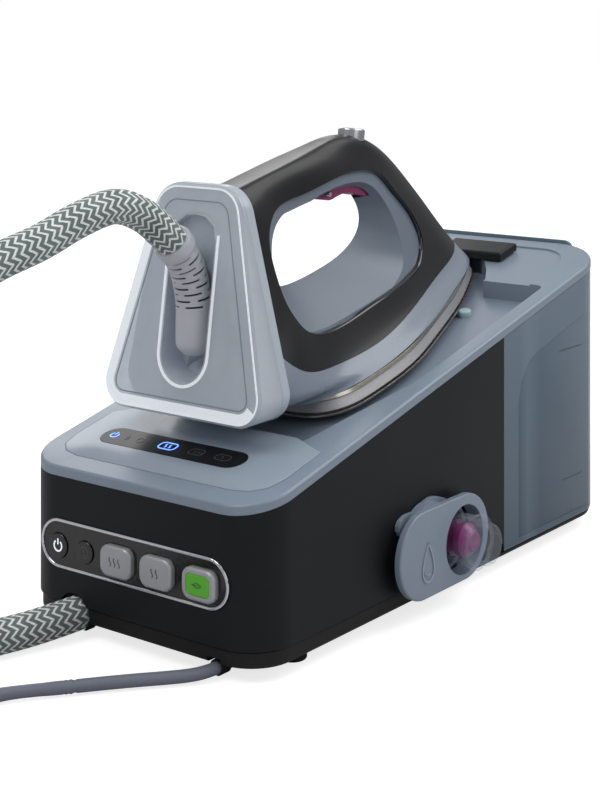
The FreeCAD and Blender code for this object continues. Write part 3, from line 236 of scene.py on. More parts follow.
reg("cord_grey", plastic("cord_grey", srgb(112, 117, 130), rough=0.5, grain=1600, grain_depth=0.00004, mottle=0.05))
reg("boot_grey_plain", plastic("boot_grey_plain", srgb(182, 185, 192), rough=0.42, grain=1500, grain_depth=0.00002))
reg("magenta", plastic("magenta", srgb(138, 12, 104), rough=0.25, grain=900, grain_depth=0.000012, mottle=0.08, coat=0.3))
reg("trigger_pink", plastic("trigger_magenta", srgb(140, 40, 96), rough=0.35, grain=1500, grain_depth=0.00002, mottle=0.06))
reg("stud_rubber", plastic("stud_silicone", srgb(168, 196, 196), rough=0.5, grain=1500, grain_depth=0.00003, sss=0.2))
reg("lock_black", plastic("lock_black", srgb(20, 22, 23), rough=0.42, grain=1500, grain_depth=0.00002, spec=0.25))
reg("icon_white", plastic("icon_white", srgb(240, 242, 245), rough=0.4, grain=1500, grain_depth=0.000005, emission=srgb(230, 235, 245), strength=0.55, bevel=0))
reg("icon_dim", plastic("icon_dim", srgb(78, 76, 78), rough=0.4, grain=1500, grain_depth=0.000005, bevel=0))
reg("icon_dark", plastic("icon_dark", srgb(92, 92, 94), rough=0.5, grain=1500, grain_depth=0.000005, bevel=0))
reg("icon_blue", plastic("icon_blue", srgb(110, 150, 235), rough=0.4, grain=1500, grain_depth=0.000005, emission=srgb(96, 146, 255), strength=1.7, bevel=0))
reg("icon_leaf", plastic("icon_leaf", srgb(36, 110, 30), rough=0.5, grain=1500, grain_depth=0.000005, bevel=0))
reg("mark_slate", plastic("mark_slate", srgb(58, 78, 92), rough=0.4, grain=1500, grain_depth=0.000005, bevel=0))
reg("emboss_grey", plastic("emboss_grey", srgb(120, 131, 145), rough=0.45, grain=1500, grain_depth=0.00001, bevel=0))


def clear_mat(name, tint, edge, body, edge_body, rough=0.08, frost=0.0, bevel=0.0006):
    """Clear moulding: more opaque where the surface turns away from the eye, as thick clear plastic looks, and paler
    there as a painted reflection.
    """
    n = Nodes(name)
    lw = n.add("ShaderNodeLayerWeight", Blend=0.35)
    cloud = n.noise(26.0, 3.0)
    fine = n.noise(1500.0, 2.0)
    f = n.math("POWER", lw.outputs["Facing"], 1.6)
    f = n.math("ADD", f, n.range(cloud.outputs["Fac"], 0.3, 0.7, -0.04, 0.06), clamp=True)
    # painted reflection: the colour pales from tint to edge towards the silhouette
    col = n.mix(f, tint, edge)
    alpha = n.range(f, 0.0, 1.0, body, edge_body)
    p = n.add("ShaderNodeBsdfPrincipled", Roughness=rough)
    p.inputs["Specular IOR Level"].default_value = 0.6
    p.inputs["Coat Weight"].default_value = 0.5
    p.inputs["Coat Roughness"].default_value = 0.04
    n.link(col, p.inputs["Base Color"])
    n.link(n.range(cloud.outputs["Fac"], 0.3, 0.7, rough, rough + 0.06), p.inputs["Roughness"])
    bump = n.add("ShaderNodeBump", Strength=1.0, Distance=0.000006)
    n.link(fine.outputs["Fac"], bump.inputs["Height"])
    bv = n.t.nodes.new("ShaderNodeBevel")
    bv.samples = 4
    bv.inputs["Radius"].default_value = bevel
    n.link(bv.outputs["Normal"], bump.inputs["Normal"])
    n.link(bump.outputs["Normal"], p.inputs["Normal"])
    tr = n.add("ShaderNodeBsdfTransparent")
    tr.inputs["Color"].default_value = (0.93, 0.95, 0.97, 1)
    ms = n.t.nodes.new("ShaderNodeMixShader")
    n.link(alpha, ms.inputs["Fac"])
    n.link(tr.outputs[0], ms.inputs[1])
    n.link(p.outputs[0], ms.inputs[2])
    n.link(ms.outputs[0], n.out.inputs["Surface"])
    return n


reg("cover_clear", clear_mat("clear_cover", srgb(228, 233, 240), srgb(248, 250, 253), 0.36, 0.86))
reg("cup_clear", clear_mat("clear_cup", srgb(196, 202, 212), srgb(232, 238, 244), 0.02, 0.42))


def tank_mat():
    """Tinted translucent tank: its wall takes a bluer, darker tone in the recessed window than round it, both painted
    darker towards the bottom and lighter towards the top as painted shade, with a painted highlight as a soft upright
    band and a painted reflection paling the silhouette.
    """
    n = Nodes("tank_slate")
    sep = n.t.nodes.new("ShaderNodeSeparateXYZ")
    n.link(n.coord.outputs["Object"], sep.inputs[0])
    lw = n.add("ShaderNodeLayerWeight", Blend=0.3)
    cloud = n.noise(14.0, 2.0)
    fine = n.noise(1300.0, 2.0)
    inside = n.range(sep.outputs["X"], 0.0968, 0.0976, 1.0, 0.0)
    inside = n.math("MULTIPLY", inside, n.range(sep.outputs["X"], 0.0955, 0.0962, 0.0, 1.0))
    left = n.math("MULTIPLY", n.range(sep.outputs["X"], -0.0976, -0.0968, 0.0, 1.0), n.range(sep.outputs["X"], -0.0962, -0.0955, 1.0, 0.0))
    inside = n.math("ADD", inside, left, clamp=True)
    # painted shade: window colour darker towards the bottom, lighter towards the top
    deep = n.ramp(n.range(sep.outputs["Z"], 0.02, 0.16, 0.0, 1.0),
                  [(0.0, srgb(12, 44, 68)), (0.55, srgb(34, 66, 90)), (1.0, srgb(66, 92, 113))]).outputs["Color"]
    # painted shade: rim colour darker towards the bottom, lighter towards the top
    rimc = n.ramp(n.range(sep.outputs["Z"], 0.0, 0.2, 0.0, 1.0),
                  [(0.0, srgb(66, 88, 104)), (1.0, srgb(104, 122, 138))]).outputs["Color"]
    col = n.mix(inside, rimc, deep)
    # painted highlight: a soft upright lighter band across the wall
    band = n.math("MULTIPLY", n.range(sep.outputs["Y"], 0.076, 0.088, 0.0, 1.0), n.range(sep.outputs["Y"], 0.088, 0.106, 1.0, 0.0))
    col = n.mix(n.math("MULTIPLY", band, 0.30), col, srgb(126, 146, 162))
    col = n.mix(n.range(cloud.outputs["Fac"], 0.3, 0.7, 0.0, 0.08), col, srgb(120, 138, 152))
    # painted reflection: colour paled towards the silhouette
    col = n.mix(n.math("POWER", lw.outputs["Facing"], 3.0), col, srgb(190, 204, 214))
    p = n.add("ShaderNodeBsdfPrincipled", Roughness=0.22)
    p.inputs["Specular IOR Level"].default_value = 0.34
    p.inputs["Coat Weight"].default_value = 0.18
    p.inputs["Coat Roughness"].default_value = 0.1
    n.link(col, p.inputs["Base Color"])
    n.link(n.range(cloud.outputs["Fac"], 0.3, 0.7, 0.18, 0.28), p.inputs["Roughness"])
    bump = n.add("ShaderNodeBump", Strength=1.0, Distance=0.00001)
    n.link(fine.outputs["Fac"], bump.inputs["Height"])
    bv = n.t.nodes.new("ShaderNodeBevel")
    bv.samples = 4
    bv.inputs["Radius"].default_value = 0.0008
    n.link(bv.outputs["Normal"], bump.inputs["Normal"])
    n.link(bump.outputs["Normal"], p.inputs["Normal"])
    tr = n.add("ShaderNodeBsdfTransparent")
    tr.inputs["Color"].default_value = (0.62, 0.72, 0.78, 1)
    ms = n.t.nodes.new("ShaderNodeMixShader")
    ms.inputs["Fac"].default_value = 0.86
    n.link(tr.outputs[0], ms.inputs[1])
    n.link(p.outputs[0], ms.inputs[2])
    n.link(ms.outputs[0], n.out.inputs["Surface"])
    return n


reg("tank_clear", tank_mat())


def braid_mat():
    """Woven sleeve: zigzag bands of pale and dark green-grey yarn, with the crossing yarns as fine relief."""
    n = Nodes("braided_sleeve")
    uv = n.add("ShaderNodeUVMap", _uv_map="sleeve")
    sep = n.t.nodes.new("ShaderNodeSeparateXYZ")
    n.link(uv.outputs["UV"], sep.inputs[0])
    u, v = sep.outputs["X"], sep.outputs["Y"]          # u: turns round the hose, v: metres along it
    zig = n.math("PINGPONG", n.math("MULTIPLY", u, 18.0), 1.0)
    phase = n.math("ADD", n.math("DIVIDE", v, 0.0060), n.math("MULTIPLY", zig, 0.80))
    jitter = n.noise(420.0, 2.0)
    phase = n.math("ADD", phase, n.range(jitter.outputs["Fac"], 0.3, 0.7, -0.05, 0.05))
    band = n.math("FRACT", phase)
    pale = n.math("MULTIPLY", n.range(band, 0.02, 0.08, 0.0, 1.0), n.range(band, 0.38, 0.46, 1.0, 0.0))
    yarn = n.math("PINGPONG", n.math("MULTIPLY", u, 72.0), 1.0)
    along = n.math("SINE", n.math("ADD", n.math("MULTIPLY", v, 2 * math.pi / 0.0011), n.math("MULTIPLY", zig, 6.0)))
    cloud = n.noise(60.0, 3.0)
    fuzz = n.noise(2600.0, 3.0)
    dark = n.ramp(cloud.outputs["Fac"], [(0.3, srgb(88, 101, 101)), (0.7, srgb(116, 129, 128))]).outputs["Color"]
    light = n.ramp(cloud.outputs["Fac"], [(0.3, srgb(222, 226, 222)), (0.7, srgb(246, 248, 244))]).outputs["Color"]
    col = n.mix(pale, dark, light)
    shade = n.math("ADD", n.range(yarn, 0.0, 0.3, 0.80, 1.0), n.range(along, -1.0, 1.0, -0.08, 0.04))
    shade = n.math("ADD", shade, n.range(fuzz.outputs["Fac"], 0.3, 0.7, -0.06, 0.06))
    comb = n.t.nodes.new("ShaderNodeCombineColor")
    for i in range(3):
        n.link(shade, comb.inputs[i])
    col = n.mix(1.0, col, comb.outputs[0], "MULTIPLY")
    p = n.add("ShaderNodeBsdfPrincipled", Roughness=0.75)
    p.inputs["Specular IOR Level"].default_value = 0.25
    p.inputs["Sheen Weight"].default_value = 0.25
    n.link(col, p.inputs["Base Color"])
    height = n.math("ADD", n.math("MULTIPLY", yarn, 0.5), n.math("MULTIPLY", along, 0.35))
    height = n.math("ADD", height, n.math("MULTIPLY", fuzz.outputs["Fac"], 0.35))
    bump = n.add("ShaderNodeBump", Strength=0.8, Distance=0.00022)
    n.link(height, bump.inputs["Height"])
    n.link(bump.outputs["Normal"], p.inputs["Normal"])
    n.link(p.outputs["BSDF"], n.out.inputs["Surface"])
    return n


reg("hose_fabric", braid_mat())


def boot_mat():
    n = Nodes("boot_grey")
    att = n.add("ShaderNodeAttribute", _attribute_name="slot")
    fine = n.noise(1500.0, 3.0)
    cloud = n.noise(30.0, 2.0)
    pale = n.ramp(cloud.outputs["Fac"], [(0.3, srgb(184, 187, 195)), (0.7, srgb(198, 200, 207))]).outputs["Color"]
    f = n.range(att.outputs["Fac"], 0.25, 0.7, 0.0, 1.0)
    # painted shade: where the 'slot' attribute is set, the colour goes near-black inside the slot recesses
    col = n.mix(f, pale, srgb(38, 42, 50))
    p = n.add("ShaderNodeBsdfPrincipled", Roughness=0.42)
    p.inputs["Subsurface Weight"].default_value = 0.05
    n.link(col, p.inputs["Base Color"])
    n.link(n.range(fine.outputs["Fac"], 0.3, 0.7, 0.38, 0.48), p.inputs["Roughness"])
    bump = n.add("ShaderNodeBump", Strength=1.0, Distance=0.00002)
    n.link(fine.outputs["Fac"], bump.inputs["Height"])
    n.link(bump.outputs["Normal"], p.inputs["Normal"])
    n.link(p.outputs["BSDF"], n.out.inputs["Surface"])
    return n


reg("boot_grey", boot_mat())

# --------------------------------------------------------------- CAD nodes: finish
LOOK = dict(
    base_pan="pan_black", rubber_feet="rubber_black", base_screws="steel", side_shell="shell_black", top_deck="deck_grey",
    cradle_studs="stud_rubber", console_cover="console_grey", display_lens="lens_black", panel_bezel="chrome_trim",
    front_panel="panel_gloss", circuit_boards="board_green", boiler="aluminium_cast", boiler_heater="steel", pump_body="pipe_white",
    pump_mounts="rubber_black", solenoid_valve="brass_fit", water_pipes="pipe_white", steam_pipe="pipe_white", tank_socket="pipe_white",
    socket_seal="rubber_black", collector_socket="emboss_grey", cord_bushings="rubber_black", hose_lower="hose_fabric",
    mains_cord="cord_grey", plug_body="cord_grey", plug_pins="chrome_trim", sole_plate="polished_plate", sole_casting="aluminium_cast",
    heat_shield="gloss_black", trim_ring="trim_metal", handle_shell="handle_black", skirt_shell="skirt_grey", handle_liner="liner_grey",
    trigger_pin="steel", trigger_spring="steel", micro_switch="shell_black", heel_frame="frame_grey", heel_cover="cover_clear",
    hose_boot="boot_grey_plain", hose_upper="hose_fabric", steam_inlet="pipe_white", iron_thermostat="steel", iron_screws="steel",
    trigger="trigger_pink", steam_button="brushed_button", button_power="panel_gloss", button_clean="panel_gloss",
    button_turbo="key_silver", button_normal="key_silver", button_eco="key_silver", eco_lamp="lamp_green", lock_slider="lock_black",
    water_tank="tank_clear", tank_lid="tank_clear", valve_spring="steel", tank_valve="pipe_white", descale_cover="deck_grey",
    collector_cup="cup_clear", collector_core="magenta")

for name, o in NODES.items():
    o.data.materials.clear()
    o.data.materials.append(M[LOOK[name]])
    for poly in o.data.polygons:
        poly.use_smooth = True
    w = o.modifiers.new("weld", "WELD")
    w.merge_threshold = 0.000004
    e = o.modifiers.new("edges", "EDGE_SPLIT")
    e.split_angle = math.radians(24)

# --------------------------------------------------------------- mesh helpers
def new_piece(name, verts, faces, mat, body=None, smooth=True):
    me = bpy.data.meshes.new(name)
    me.from_pydata([tuple(v) for v in verts], [], faces)
    me.validate()
    o = bpy.data.objects.new(name, me)
    scene.collection.objects.link(o)
    me.materials.append(M[mat])
    for poly in me.polygons:
        poly.use_smooth = smooth
    if body:
        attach(o, body)
    return o


_bvh = {}


def surface(node):
    if node not in _bvh:
        me = NODES[node].data
        _bvh[node] = BVHTree.FromPolygons([v.co for v in me.vertices], [list(p.vertices) for p in me.polygons])
    return _bvh[node]


def cast(node, origin, direction):
    hit = surface(node).ray_cast(Vector(origin), Vector(direction).normalized(), 2.0)
    return hit[0], hit[1]


def ribbon(name, path, width, where, mat, body, lift=0.00018, sink=0.0003, closed=False, taper=False):
    """A raised line on a surface. path is 2-D, where(u, v) gives (point on the surface, outward normal)."""
    pts = [Vector(p) for p in path]
    n = len(pts)
    left, right = [], []
    for i, p in enumerate(pts):
        a = pts[(i - 1) % n] if closed or i > 0 else p
        b = pts[(i + 1) % n] if closed or i < n - 1 else p
        d = (b - a)
        d = d.normalized() if d.length else Vector((1, 0))
        q = Vector((-d.y, d.x)) * width / 2
        if taper:
            q *= max(0.12, math.sin(math.pi * i / (n - 1)))
        left.append(p + q)
        right.append(p - q)
    verts = []
    for l, r in zip(left, right):
        for p, h in ((l, lift), (r, lift), (r, -sink), (l, -sink)):
            s, m = where(p.x, p.y)
            verts.append(s + m * h)
    faces = []
    for i in range(n if closed else n - 1):
        a, b = 4 * i, 4 * ((i + 1) % n)
        for k in range(4):
            faces.append((a + k, b + k, b + (k + 1) % 4, a + (k + 1) % 4))
    if not closed:
        faces += [(3, 2, 1, 0), tuple(4 * (n - 1) + k for k in range(4))]
    return new_piece(name, verts, faces, mat, body, smooth=False)


def patch(name, loop, where, mat, body, lift=0.00018, sink=0.0003, slot=None):
    """A raised flat shape, star-shaped about its middle."""
    c = Vector((sum(p[0] for p in loop) / len(loop), sum(p[1] for p in loop) / len(loop)))
    verts, faces, n = [], [], len(loop)
    for h in (lift, -sink):
        s, m = where(c.x, c.y)
        verts.append(s + m * h)
        for p in loop:
            s, m = where(p[0], p[1])
            verts.append(s + m * h)
    b = n + 1
    for i in range(n):
        j = (i + 1) % n
        faces.append((0, 1 + i, 1 + j))
        faces.append((b, b + 1 + j, b + 1 + i))
        faces.append((1 + i, b + 1 + i, b + 1 + j, 1 + j))
    return new_piece(name, verts, faces, mat, body, smooth=False)


def circle(r, n=32, a0=0.0, a1=2 * math.pi, c=(0, 0), ends=False):
    m = n + (1 if ends else 0)
    return [(c[0] + r * math.cos(a0 + (a1 - a0) * i / n), c[1] + r * math.sin(a0 + (a1 - a0) * i / n)) for i in range(m)]


def pill(hx, hy, r, n=8, c=(0, 0)):
    out = []
    for sx, sy, a in ((1, -1, -90), (1, 1, 0), (-1, 1, 90), (-1, -1, 180)):
        for i in range(n + 1):
            t = math.radians(a + 90 * i / n)
            out.append((c[0] + sx * (hx - r) + r * math.cos(t), c[1] + sy * (hy - r) + r * math.sin(t)))
    return out


def drop(s, c=(0, 0), n=20):
    out = []
    for i in range(n):
        t = 2 * math.pi * i / n
        out.append((c[0] + s * 0.62 * math.sin(t) * abs(math.sin(t / 2)) ** 1.1, c[1] + s * (-math.cos(t) * -1.0) * 0.9))
    return out


def catmull(points, step):
    """Smooth curve through the points, resampled at an even step. Returns points and running length."""
    P = [np.array(p, float) for p in points]
    P = [2 * P[0] - P[1]] + P + [2 * P[-1] - P[-2]]
    dense = []
    for i in range(1, len(P) - 2):
        p0, p1, p2, p3 = P[i - 1], P[i], P[i + 1], P[i + 2]
        t0 = 0.0
        t1 = t0 + np.linalg.norm(p1 - p0) ** 0.5
        t2 = t1 + np.linalg.norm(p2 - p1) ** 0.5
        t3 = t2 + np.linalg.norm(p3 - p2) ** 0.5
        for t in np.linspace(t1, t2, 40, endpoint=False):
            a1 = (t1 - t) / (t1 - t0) * p0 + (t - t0) / (t1 - t0) * p1
            a2 = (t2 - t) / (t2 - t1) * p1 + (t - t1) / (t2 - t1) * p2
            a3 = (t3 - t) / (t3 - t2) * p2 + (t - t2) / (t3 - t2) * p3
            b1 = (t2 - t) / (t2 - t0) * a1 + (t - t0) / (t2 - t0) * a2
            b2 = (t3 - t) / (t3 - t1) * a2 + (t - t1) / (t3 - t1) * a3
            dense.append((t2 - t) / (t2 - t1) * b1 + (t - t1) / (t2 - t1) * b2)
    dense.append(P[-2])
    D = np.array(dense)
    for _ in range(60):
        D[1:-1] = 0.25 * D[:-2] + 0.5 * D[1:-1] + 0.25 * D[2:]
    s = np.concatenate([[0], np.cumsum(np.linalg.norm(np.diff(D, axis=0), axis=1))])
    k = max(4, int(round(s[-1] / step)))
    q = np.linspace(0, s[-1], k + 1)
    return np.stack([np.interp(q, s, D[:, j]) for j in range(3)], axis=1), q


def frames(C):
    """Parallel-transported normals along a curve, so that a pattern doesn't twist."""
    T = np.gradient(C, axis=0)
    T /= np.linalg.norm(T, axis=1)[:, None]
    n = np.cross(T[0], (1.0, 0.0, 0.0))
    if np.linalg.norm(n) < 1e-3:
        n = np.cross(T[0], (0.0, 0.0, 1.0))
    n /= np.linalg.norm(n)
    N = [n]
    for i in range(1, len(C)):
        n = N[-1] - T[i] * np.dot(N[-1], T[i])
        N.append(n / np.linalg.norm(n))
    N = np.array(N)
    return T, N, np.cross(T, N)


def tube(name, C, s, radius, around, mat, uv=None, attr=None, caps=True):
    """Skin round a curve. radius(i, angle) in metres."""
    T, N, B = frames(C)
    k = len(C)
    ang = np.arange(around) * 2 * math.pi / around
    verts = np.zeros((k * around, 3))
    vals = np.zeros(k * around)
    for i in range(k):
        r = np.array([radius(i, a) for a in ang])
        ring = C[i] + r[:, None] * (np.cos(ang)[:, None] * N[i] + np.sin(ang)[:, None] * B[i])
        verts[i * around:(i + 1) * around] = ring
        if attr:
            vals[i * around:(i + 1) * around] = [attr[1](i, a) for a in ang]
    faces = []
    for i in range(k - 1):
        for j in range(around):
            j2 = (j + 1) % around
            faces.append((i * around + j, i * around + j2, (i + 1) * around + j2, (i + 1) * around + j))
    n_side = len(faces)
    if caps:
        faces.append(tuple(range(around - 1, -1, -1)))
        faces.append(tuple((k - 1) * around + j for j in range(around)))
    me = bpy.data.meshes.new(name)
    me.from_pydata(verts.tolist(), [], faces)
    o = bpy.data.objects.new(name, me)
    scene.collection.objects.link(o)
    me.materials.append(M[mat])
    me.polygons.foreach_set("use_smooth", [True] * n_side + [False] * (len(faces) - n_side))
    if uv:
        layer = me.uv_layers.new(name=uv)
        data = np.zeros((len(me.loops), 2), np.float32)
        li = 0
        for f in range(n_side):
            i, j = divmod(f, around)
            data[li:li + 4] = ((j / around, s[i]), ((j + 1) / around, s[i]), ((j + 1) / around, s[i + 1]), (j / around, s[i + 1]))
            li += 4
        layer.data.foreach_set("uv", data.ravel())
    if attr:
        a = me.attributes.new(attr[0], "FLOAT", "POINT")
        a.data.foreach_set("value", vals.astype(np.float32))
    me.update()
    return o


# --------------------------------------------------------------- steam hose: one braided sleeve
LOW = [(-51, -196, 15.2), (-51, -209, 13.5), (-51.5, -217, 13.2), (-58, -246, 11.6), (-68, -285, 11.4), (-72, -330, 11.4),
       (-68, -385, 13), (-52, -430, 27), (-35, -458, 62)]
UP = [(0, -174.5, 238.5), (0, -181.2, 245.2), (0, -192, 253.6), (0, -206, 263), (0, -230, 271), (0, -260, 266), (0, -291, 256), (0, -325, 248),
      (-2, -368, 232), (-7, -412, 201), (-13, -447, 158)]
path = [np.array(p) / 1000 for p in LOW] + [np.array((-20, -466, 106)) / 1000] + [np.array(p) / 1000 for p in reversed(UP)]
C, S = catmull(path, 0.0011)
HR = 0.01045


def hose_r(i, a):
    zig = abs(((a / (2 * math.pi) * 18.0) / 2 % 1) * 2 - 1)
    ph = (S[i] / 0.0060 + (1 - zig) * 0.80) % 1
    up = 1.0 if 0.04 < ph < 0.44 else 0.0
    return HR + 0.00012 * up + 0.00008 * abs(math.sin(a * 36))


hose = tube("hose_sleeve", C, S, hose_r, 88, "hose_fabric", uv="sleeve")
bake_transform(hose)
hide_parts("hose_lower", "hose_upper")

# --------------------------------------------------------------- strain relief on the iron's heel
BOOT = [(0, -160.3, 171.5), (0, -160.4, 187), (0, -160.6, 206), (0, -166, 226), (0, -174.5, 238.5), (0, -181.2, 245.2)]
CB, SB = catmull([np.array(p) / 1000 for p in BOOT], 0.0004)
LB = SB[-1]
ROW = 0.0046
RIB0, RIB1 = LB * 0.37, LB * 0.86


# slot_depth cuts the slot recesses and also feeds the 'slot' attribute, which paints them near-black as painted shade
def slot_depth(i, a):
    s = SB[i]
    if s < RIB0 or s > RIB1:
        return 0.0
    k, f = divmod((s - RIB0) / ROW, 1.0)
    d = abs(f - 0.5) * ROW
    open_s = max(0.0, min(1.0, (0.00075 - d) / 0.0003))
    turn = (a / (2 * math.pi) + (0.125 if int(k) % 2 else 0.0)) % 0.25 / 0.25
    open_a = max(0.0, min(1.0, (0.36 - abs(turn - 0.5)) / 0.03))
    return open_s * open_a


def boot_r(i, a):
    s = SB[i]
    r = 0.0113
    if s < 0.009:
        r = 0.0113 * math.sqrt(max(0.02, 1 - ((0.009 - s) / 0.009) ** 2 * 0.9))
    if s > RIB1 + 0.001:
        r = 0.0113 + 0.0014 * min(1.0, (s - RIB1 - 0.001) / 0.003)
    if s > LB - 0.0008:
        r -= 0.0004
    return r - 0.0019 * slot_depth(i, a)


# the 'slot' attribute carries the painted shade of the slots
boot = tube("hose_boot_relief", CB, SB, boot_r, 160, "boot_grey", attr=("slot", slot_depth))
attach(boot, "iron")
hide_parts("hose_boot")

# --------------------------------------------------------------- marks on the control panel
def front_of(node):
    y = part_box(node)[0].y

    def where(u, v):
        return Vector((u, y, v)), Vector((0, -1, 0))
    return where


def centre(node):
    a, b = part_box(node)
    return (a + b) / 2


c = centre("button_power")
w = front_of("button_power")
ribbon("mark_power_arc", circle(0.0033, 30, math.radians(90 + 38), math.radians(90 + 322), (c.x, c.z), ends=True), 0.00095, w, "icon_white", "key_power")
ribbon("mark_power_bar", [(c.x, c.z + 0.0008), (c.x, c.z + 0.0045)], 0.00095, w, "icon_white", "key_power")
c = centre("button_clean")
w = front_of("button_clean")
ribbon("mark_clean_ring", circle(0.0033, 32, c=(c.x, c.z)), 0.0005, w, "icon_dim", "key_clean", closed=True)
ribbon("mark_clean_drop", drop(0.0019, (c.x, c.z)), 0.00045, w, "icon_dim", "key_clean", closed=True)
for node, body, count in (("button_turbo", "key_turbo", 3), ("button_normal", "key_normal", 2)):
    c = centre(node)
    w = front_of(node)
    for k in range(count):
        x0 = c.x + (k - (count - 1) / 2) * 0.0036
        ribbon("mark_%s_%d" % (body, k), [(x0 + 0.0007 * math.sin(t * 2 * math.pi / 12), c.z - 0.0026 + 0.0052 * t / 12) for t in range(13)],
               0.0008, w, "icon_dark", body, lift=0.00012)
c = centre("eco_lamp")
w = front_of("eco_lamp")
leaf = [(c.x - 0.0032 + 0.0064 * t / 16, c.z + 0.0013 * math.sin(math.pi * t / 16)) for t in range(17)]
ribbon("mark_leaf_top", leaf, 0.00055, w, "icon_leaf", "key_eco", lift=0.00012)
leaf = [(c.x - 0.0032 + 0.0064 * t / 16, c.z - 0.0013 * math.sin(math.pi * t / 16)) for t in range(17)]
ribbon("mark_leaf_low", leaf, 0.00055, w, "icon_leaf", "key_eco", lift=0.00012)
ribbon("mark_leaf_rib", [(c.x - 0.0042, c.z), (c.x + 0.0018, c.z)], 0.0004, w, "icon_leaf", "key_eco", lift=0.00012)


# --------------------------------------------------------------- display symbols
def lens_at(u, v):
    p, m = cast("display_lens", (u, v, 0.5), (0, 0, -1))
    if p is None:
        p, m = Vector((u, v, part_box("display_lens")[1].z)), Vector((0, 0, 1))
    if m.z < 0:
        m = -m
    return p, m


DY = -0.1745
ribbon("lit_power_arc", circle(0.0028, 26, math.radians(128), math.radians(412), (-0.0545, DY), ends=True), 0.0009, lens_at, "icon_blue", "station")
ribbon("lit_power_bar", [(-0.0545, DY + 0.0006), (-0.0545, DY + 0.004)], 0.0009, lens_at, "icon_blue", "station")
ribbon("dim_drop", drop(0.0024, (-0.0430, DY)), 0.0005, lens_at, "icon_dim", "station", closed=True)
ribbon("dim_ring", circle(0.0026, 24, c=(-0.0320, DY)), 0.0005, lens_at, "icon_dim", "station", closed=True)
ribbon("lit_level_frame", pill(0.0066, 0.0038, 0.0030, c=(-0.0087, DY)), 0.0009, lens_at, "icon_blue", "station", closed=True)
for k in (-1, 1):
    ribbon("lit_level_wave_%d" % (k + 1), [(-0.0087 + k * 0.0017 + 0.0006 * math.sin(t * math.pi / 4), DY - 0.0019 + 0.0038 * t / 8) for t in range(9)],
           0.0008, lens_at, "icon_blue", "station")
for i, x0 in enumerate((0.0150, 0.0360)):
    ribbon("dim_level_frame_%d" % i, pill(0.0056, 0.0032, 0.0026, c=(x0, DY)), 0.00045, lens_at, "icon_dim", "station", closed=True)
    for k in range(3 - i * 2 + 1 if i == 0 else 1):
        ribbon("dim_level_wave_%d_%d" % (i, k), [(x0 + (k - 1) * 0.002 * (1 - i) + 0.0004 * math.sin(t * math.pi / 4), DY - 0.0014 + 0.0028 * t / 8) for t in range(9)],
               0.0004, lens_at, "icon_dim", "station")

# --------------------------------------------------------------- heel cover: painted highlights on the rim (a pale glowing band, a bead) and on the channel lip, and a painted shadow line along the panel edge
# painted highlight: pale rim colour with an emission glow, though the rim is no lamp
reg("rim_glow_highlight", plastic("cover_rim", srgb(240, 244, 249), rough=0.12, grain=900, grain_depth=0.000004, coat=0.6, coat_rough=0.04, mottle=0.02, rough_var=0.03, bevel=0, alpha=0.88, emission=srgb(240, 244, 250), strength=0.22))
# painted shadow: darker blue-grey for a line inset along the cover's panel edge
reg("rim_line", plastic("cover_rim_shadow", srgb(138, 149, 163), rough=0.2, grain=900, grain_depth=0.000004, coat=0.4, mottle=0.03, bevel=0, alpha=0.8))


def trapezoid(i, n=10):
    """Outline of the heel cover along its own plane (mm), inset by i, counter-clockwise from the lower left corner."""
    s0, s1, x0, x1, rb, rt = -4.5, 138.5, 69.4, 32.6, 17.0, 21.0
    k = (x0 - x1) / (s1 - s0)
    half = lambda v: x0 - (v - s0) * k - i * math.sqrt(1 + k * k)
    cor = [(-half(s0 + i), s0 + i, rb - i), (half(s0 + i), s0 + i, rb - i), (half(s1 - i), s1 - i, rt - i), (-half(s1 - i), s1 - i, rt - i)]
    out = []
    for q in range(4):
        p, a, b = cor[q], cor[q - 1], cor[(q + 1) % 4]
        r = max(p[2], 2.5)
        ua = Vector((a[0] - p[0], a[1] - p[1])).normalized()
        ub = Vector((b[0] - p[0], b[1] - p[1])).normalized()
        ang = math.acos(ua.dot(ub))
        mid = (ua + ub).normalized() * (r / math.sin(ang / 2)) + Vector((p[0], p[1]))
        ta = Vector((p[0], p[1])) + ua * (r / math.tan(ang / 2)) - mid
        tb = Vector((p[0], p[1])) + ub * (r / math.tan(ang / 2)) - mid
        a0 = math.atan2(ta.y, ta.x)
        a1 = math.atan2(tb.y, tb.x)
        while a1 < a0:
            a1 += 2 * math.pi
        out += [(mid.x + r * math.cos(a0 + (a1 - a0) * j / n), mid.y + r * math.sin(a0 + (a1 - a0) * j / n)) for j in range(n + 1)]
    return out


def heel_pt(x, v, t):
    return tl(x, -141 + 0.2272 * v - 0.9739 * t, 28 + 0.9739 * v + 0.2272 * t)


def heel_face(u, v):
    t = lambda q: 32.7 - 21.9 * (q + 4.5) / 143.0
    p = heel_pt(u, v, t(v))
    m = (heel_pt(u + 1, v, t(v)) - p).cross(heel_pt(u, v + 1, t(v + 1)) - p).normalized()
    if m.y > 0:
        m = -m
    return p, m


def even(loop, step, closed=True):
    pts = [Vector(q) for q in loop] + ([Vector(loop[0])] if closed else [])
    out = []
    for a, b in zip(pts[:-1], pts[1:]):
        k = max(1, int((b - a).length / step))
        out += [tuple(a.lerp(b, j / k)) for j in range(k)]
    if not closed:
        out.append(tuple(pts[-1]))
    return out


wide = [q for q in even(trapezoid(5.6), 4.0)]
left = [q for q in wide if q[0] < 0 and 8 < q[1] < 112]
left.sort(key=lambda q: -q[1])
low = [q for q in wide if q[1] <= 8]
low.sort(key=lambda q: q[0])
# painted highlight: pale glowing band only along the left and lower rim, where light catches the thick edge
ribbon("cover_rim_highlight", left + low, 6.0, heel_face, "rim_glow_highlight", "iron", lift=0.00022, sink=0.0002)
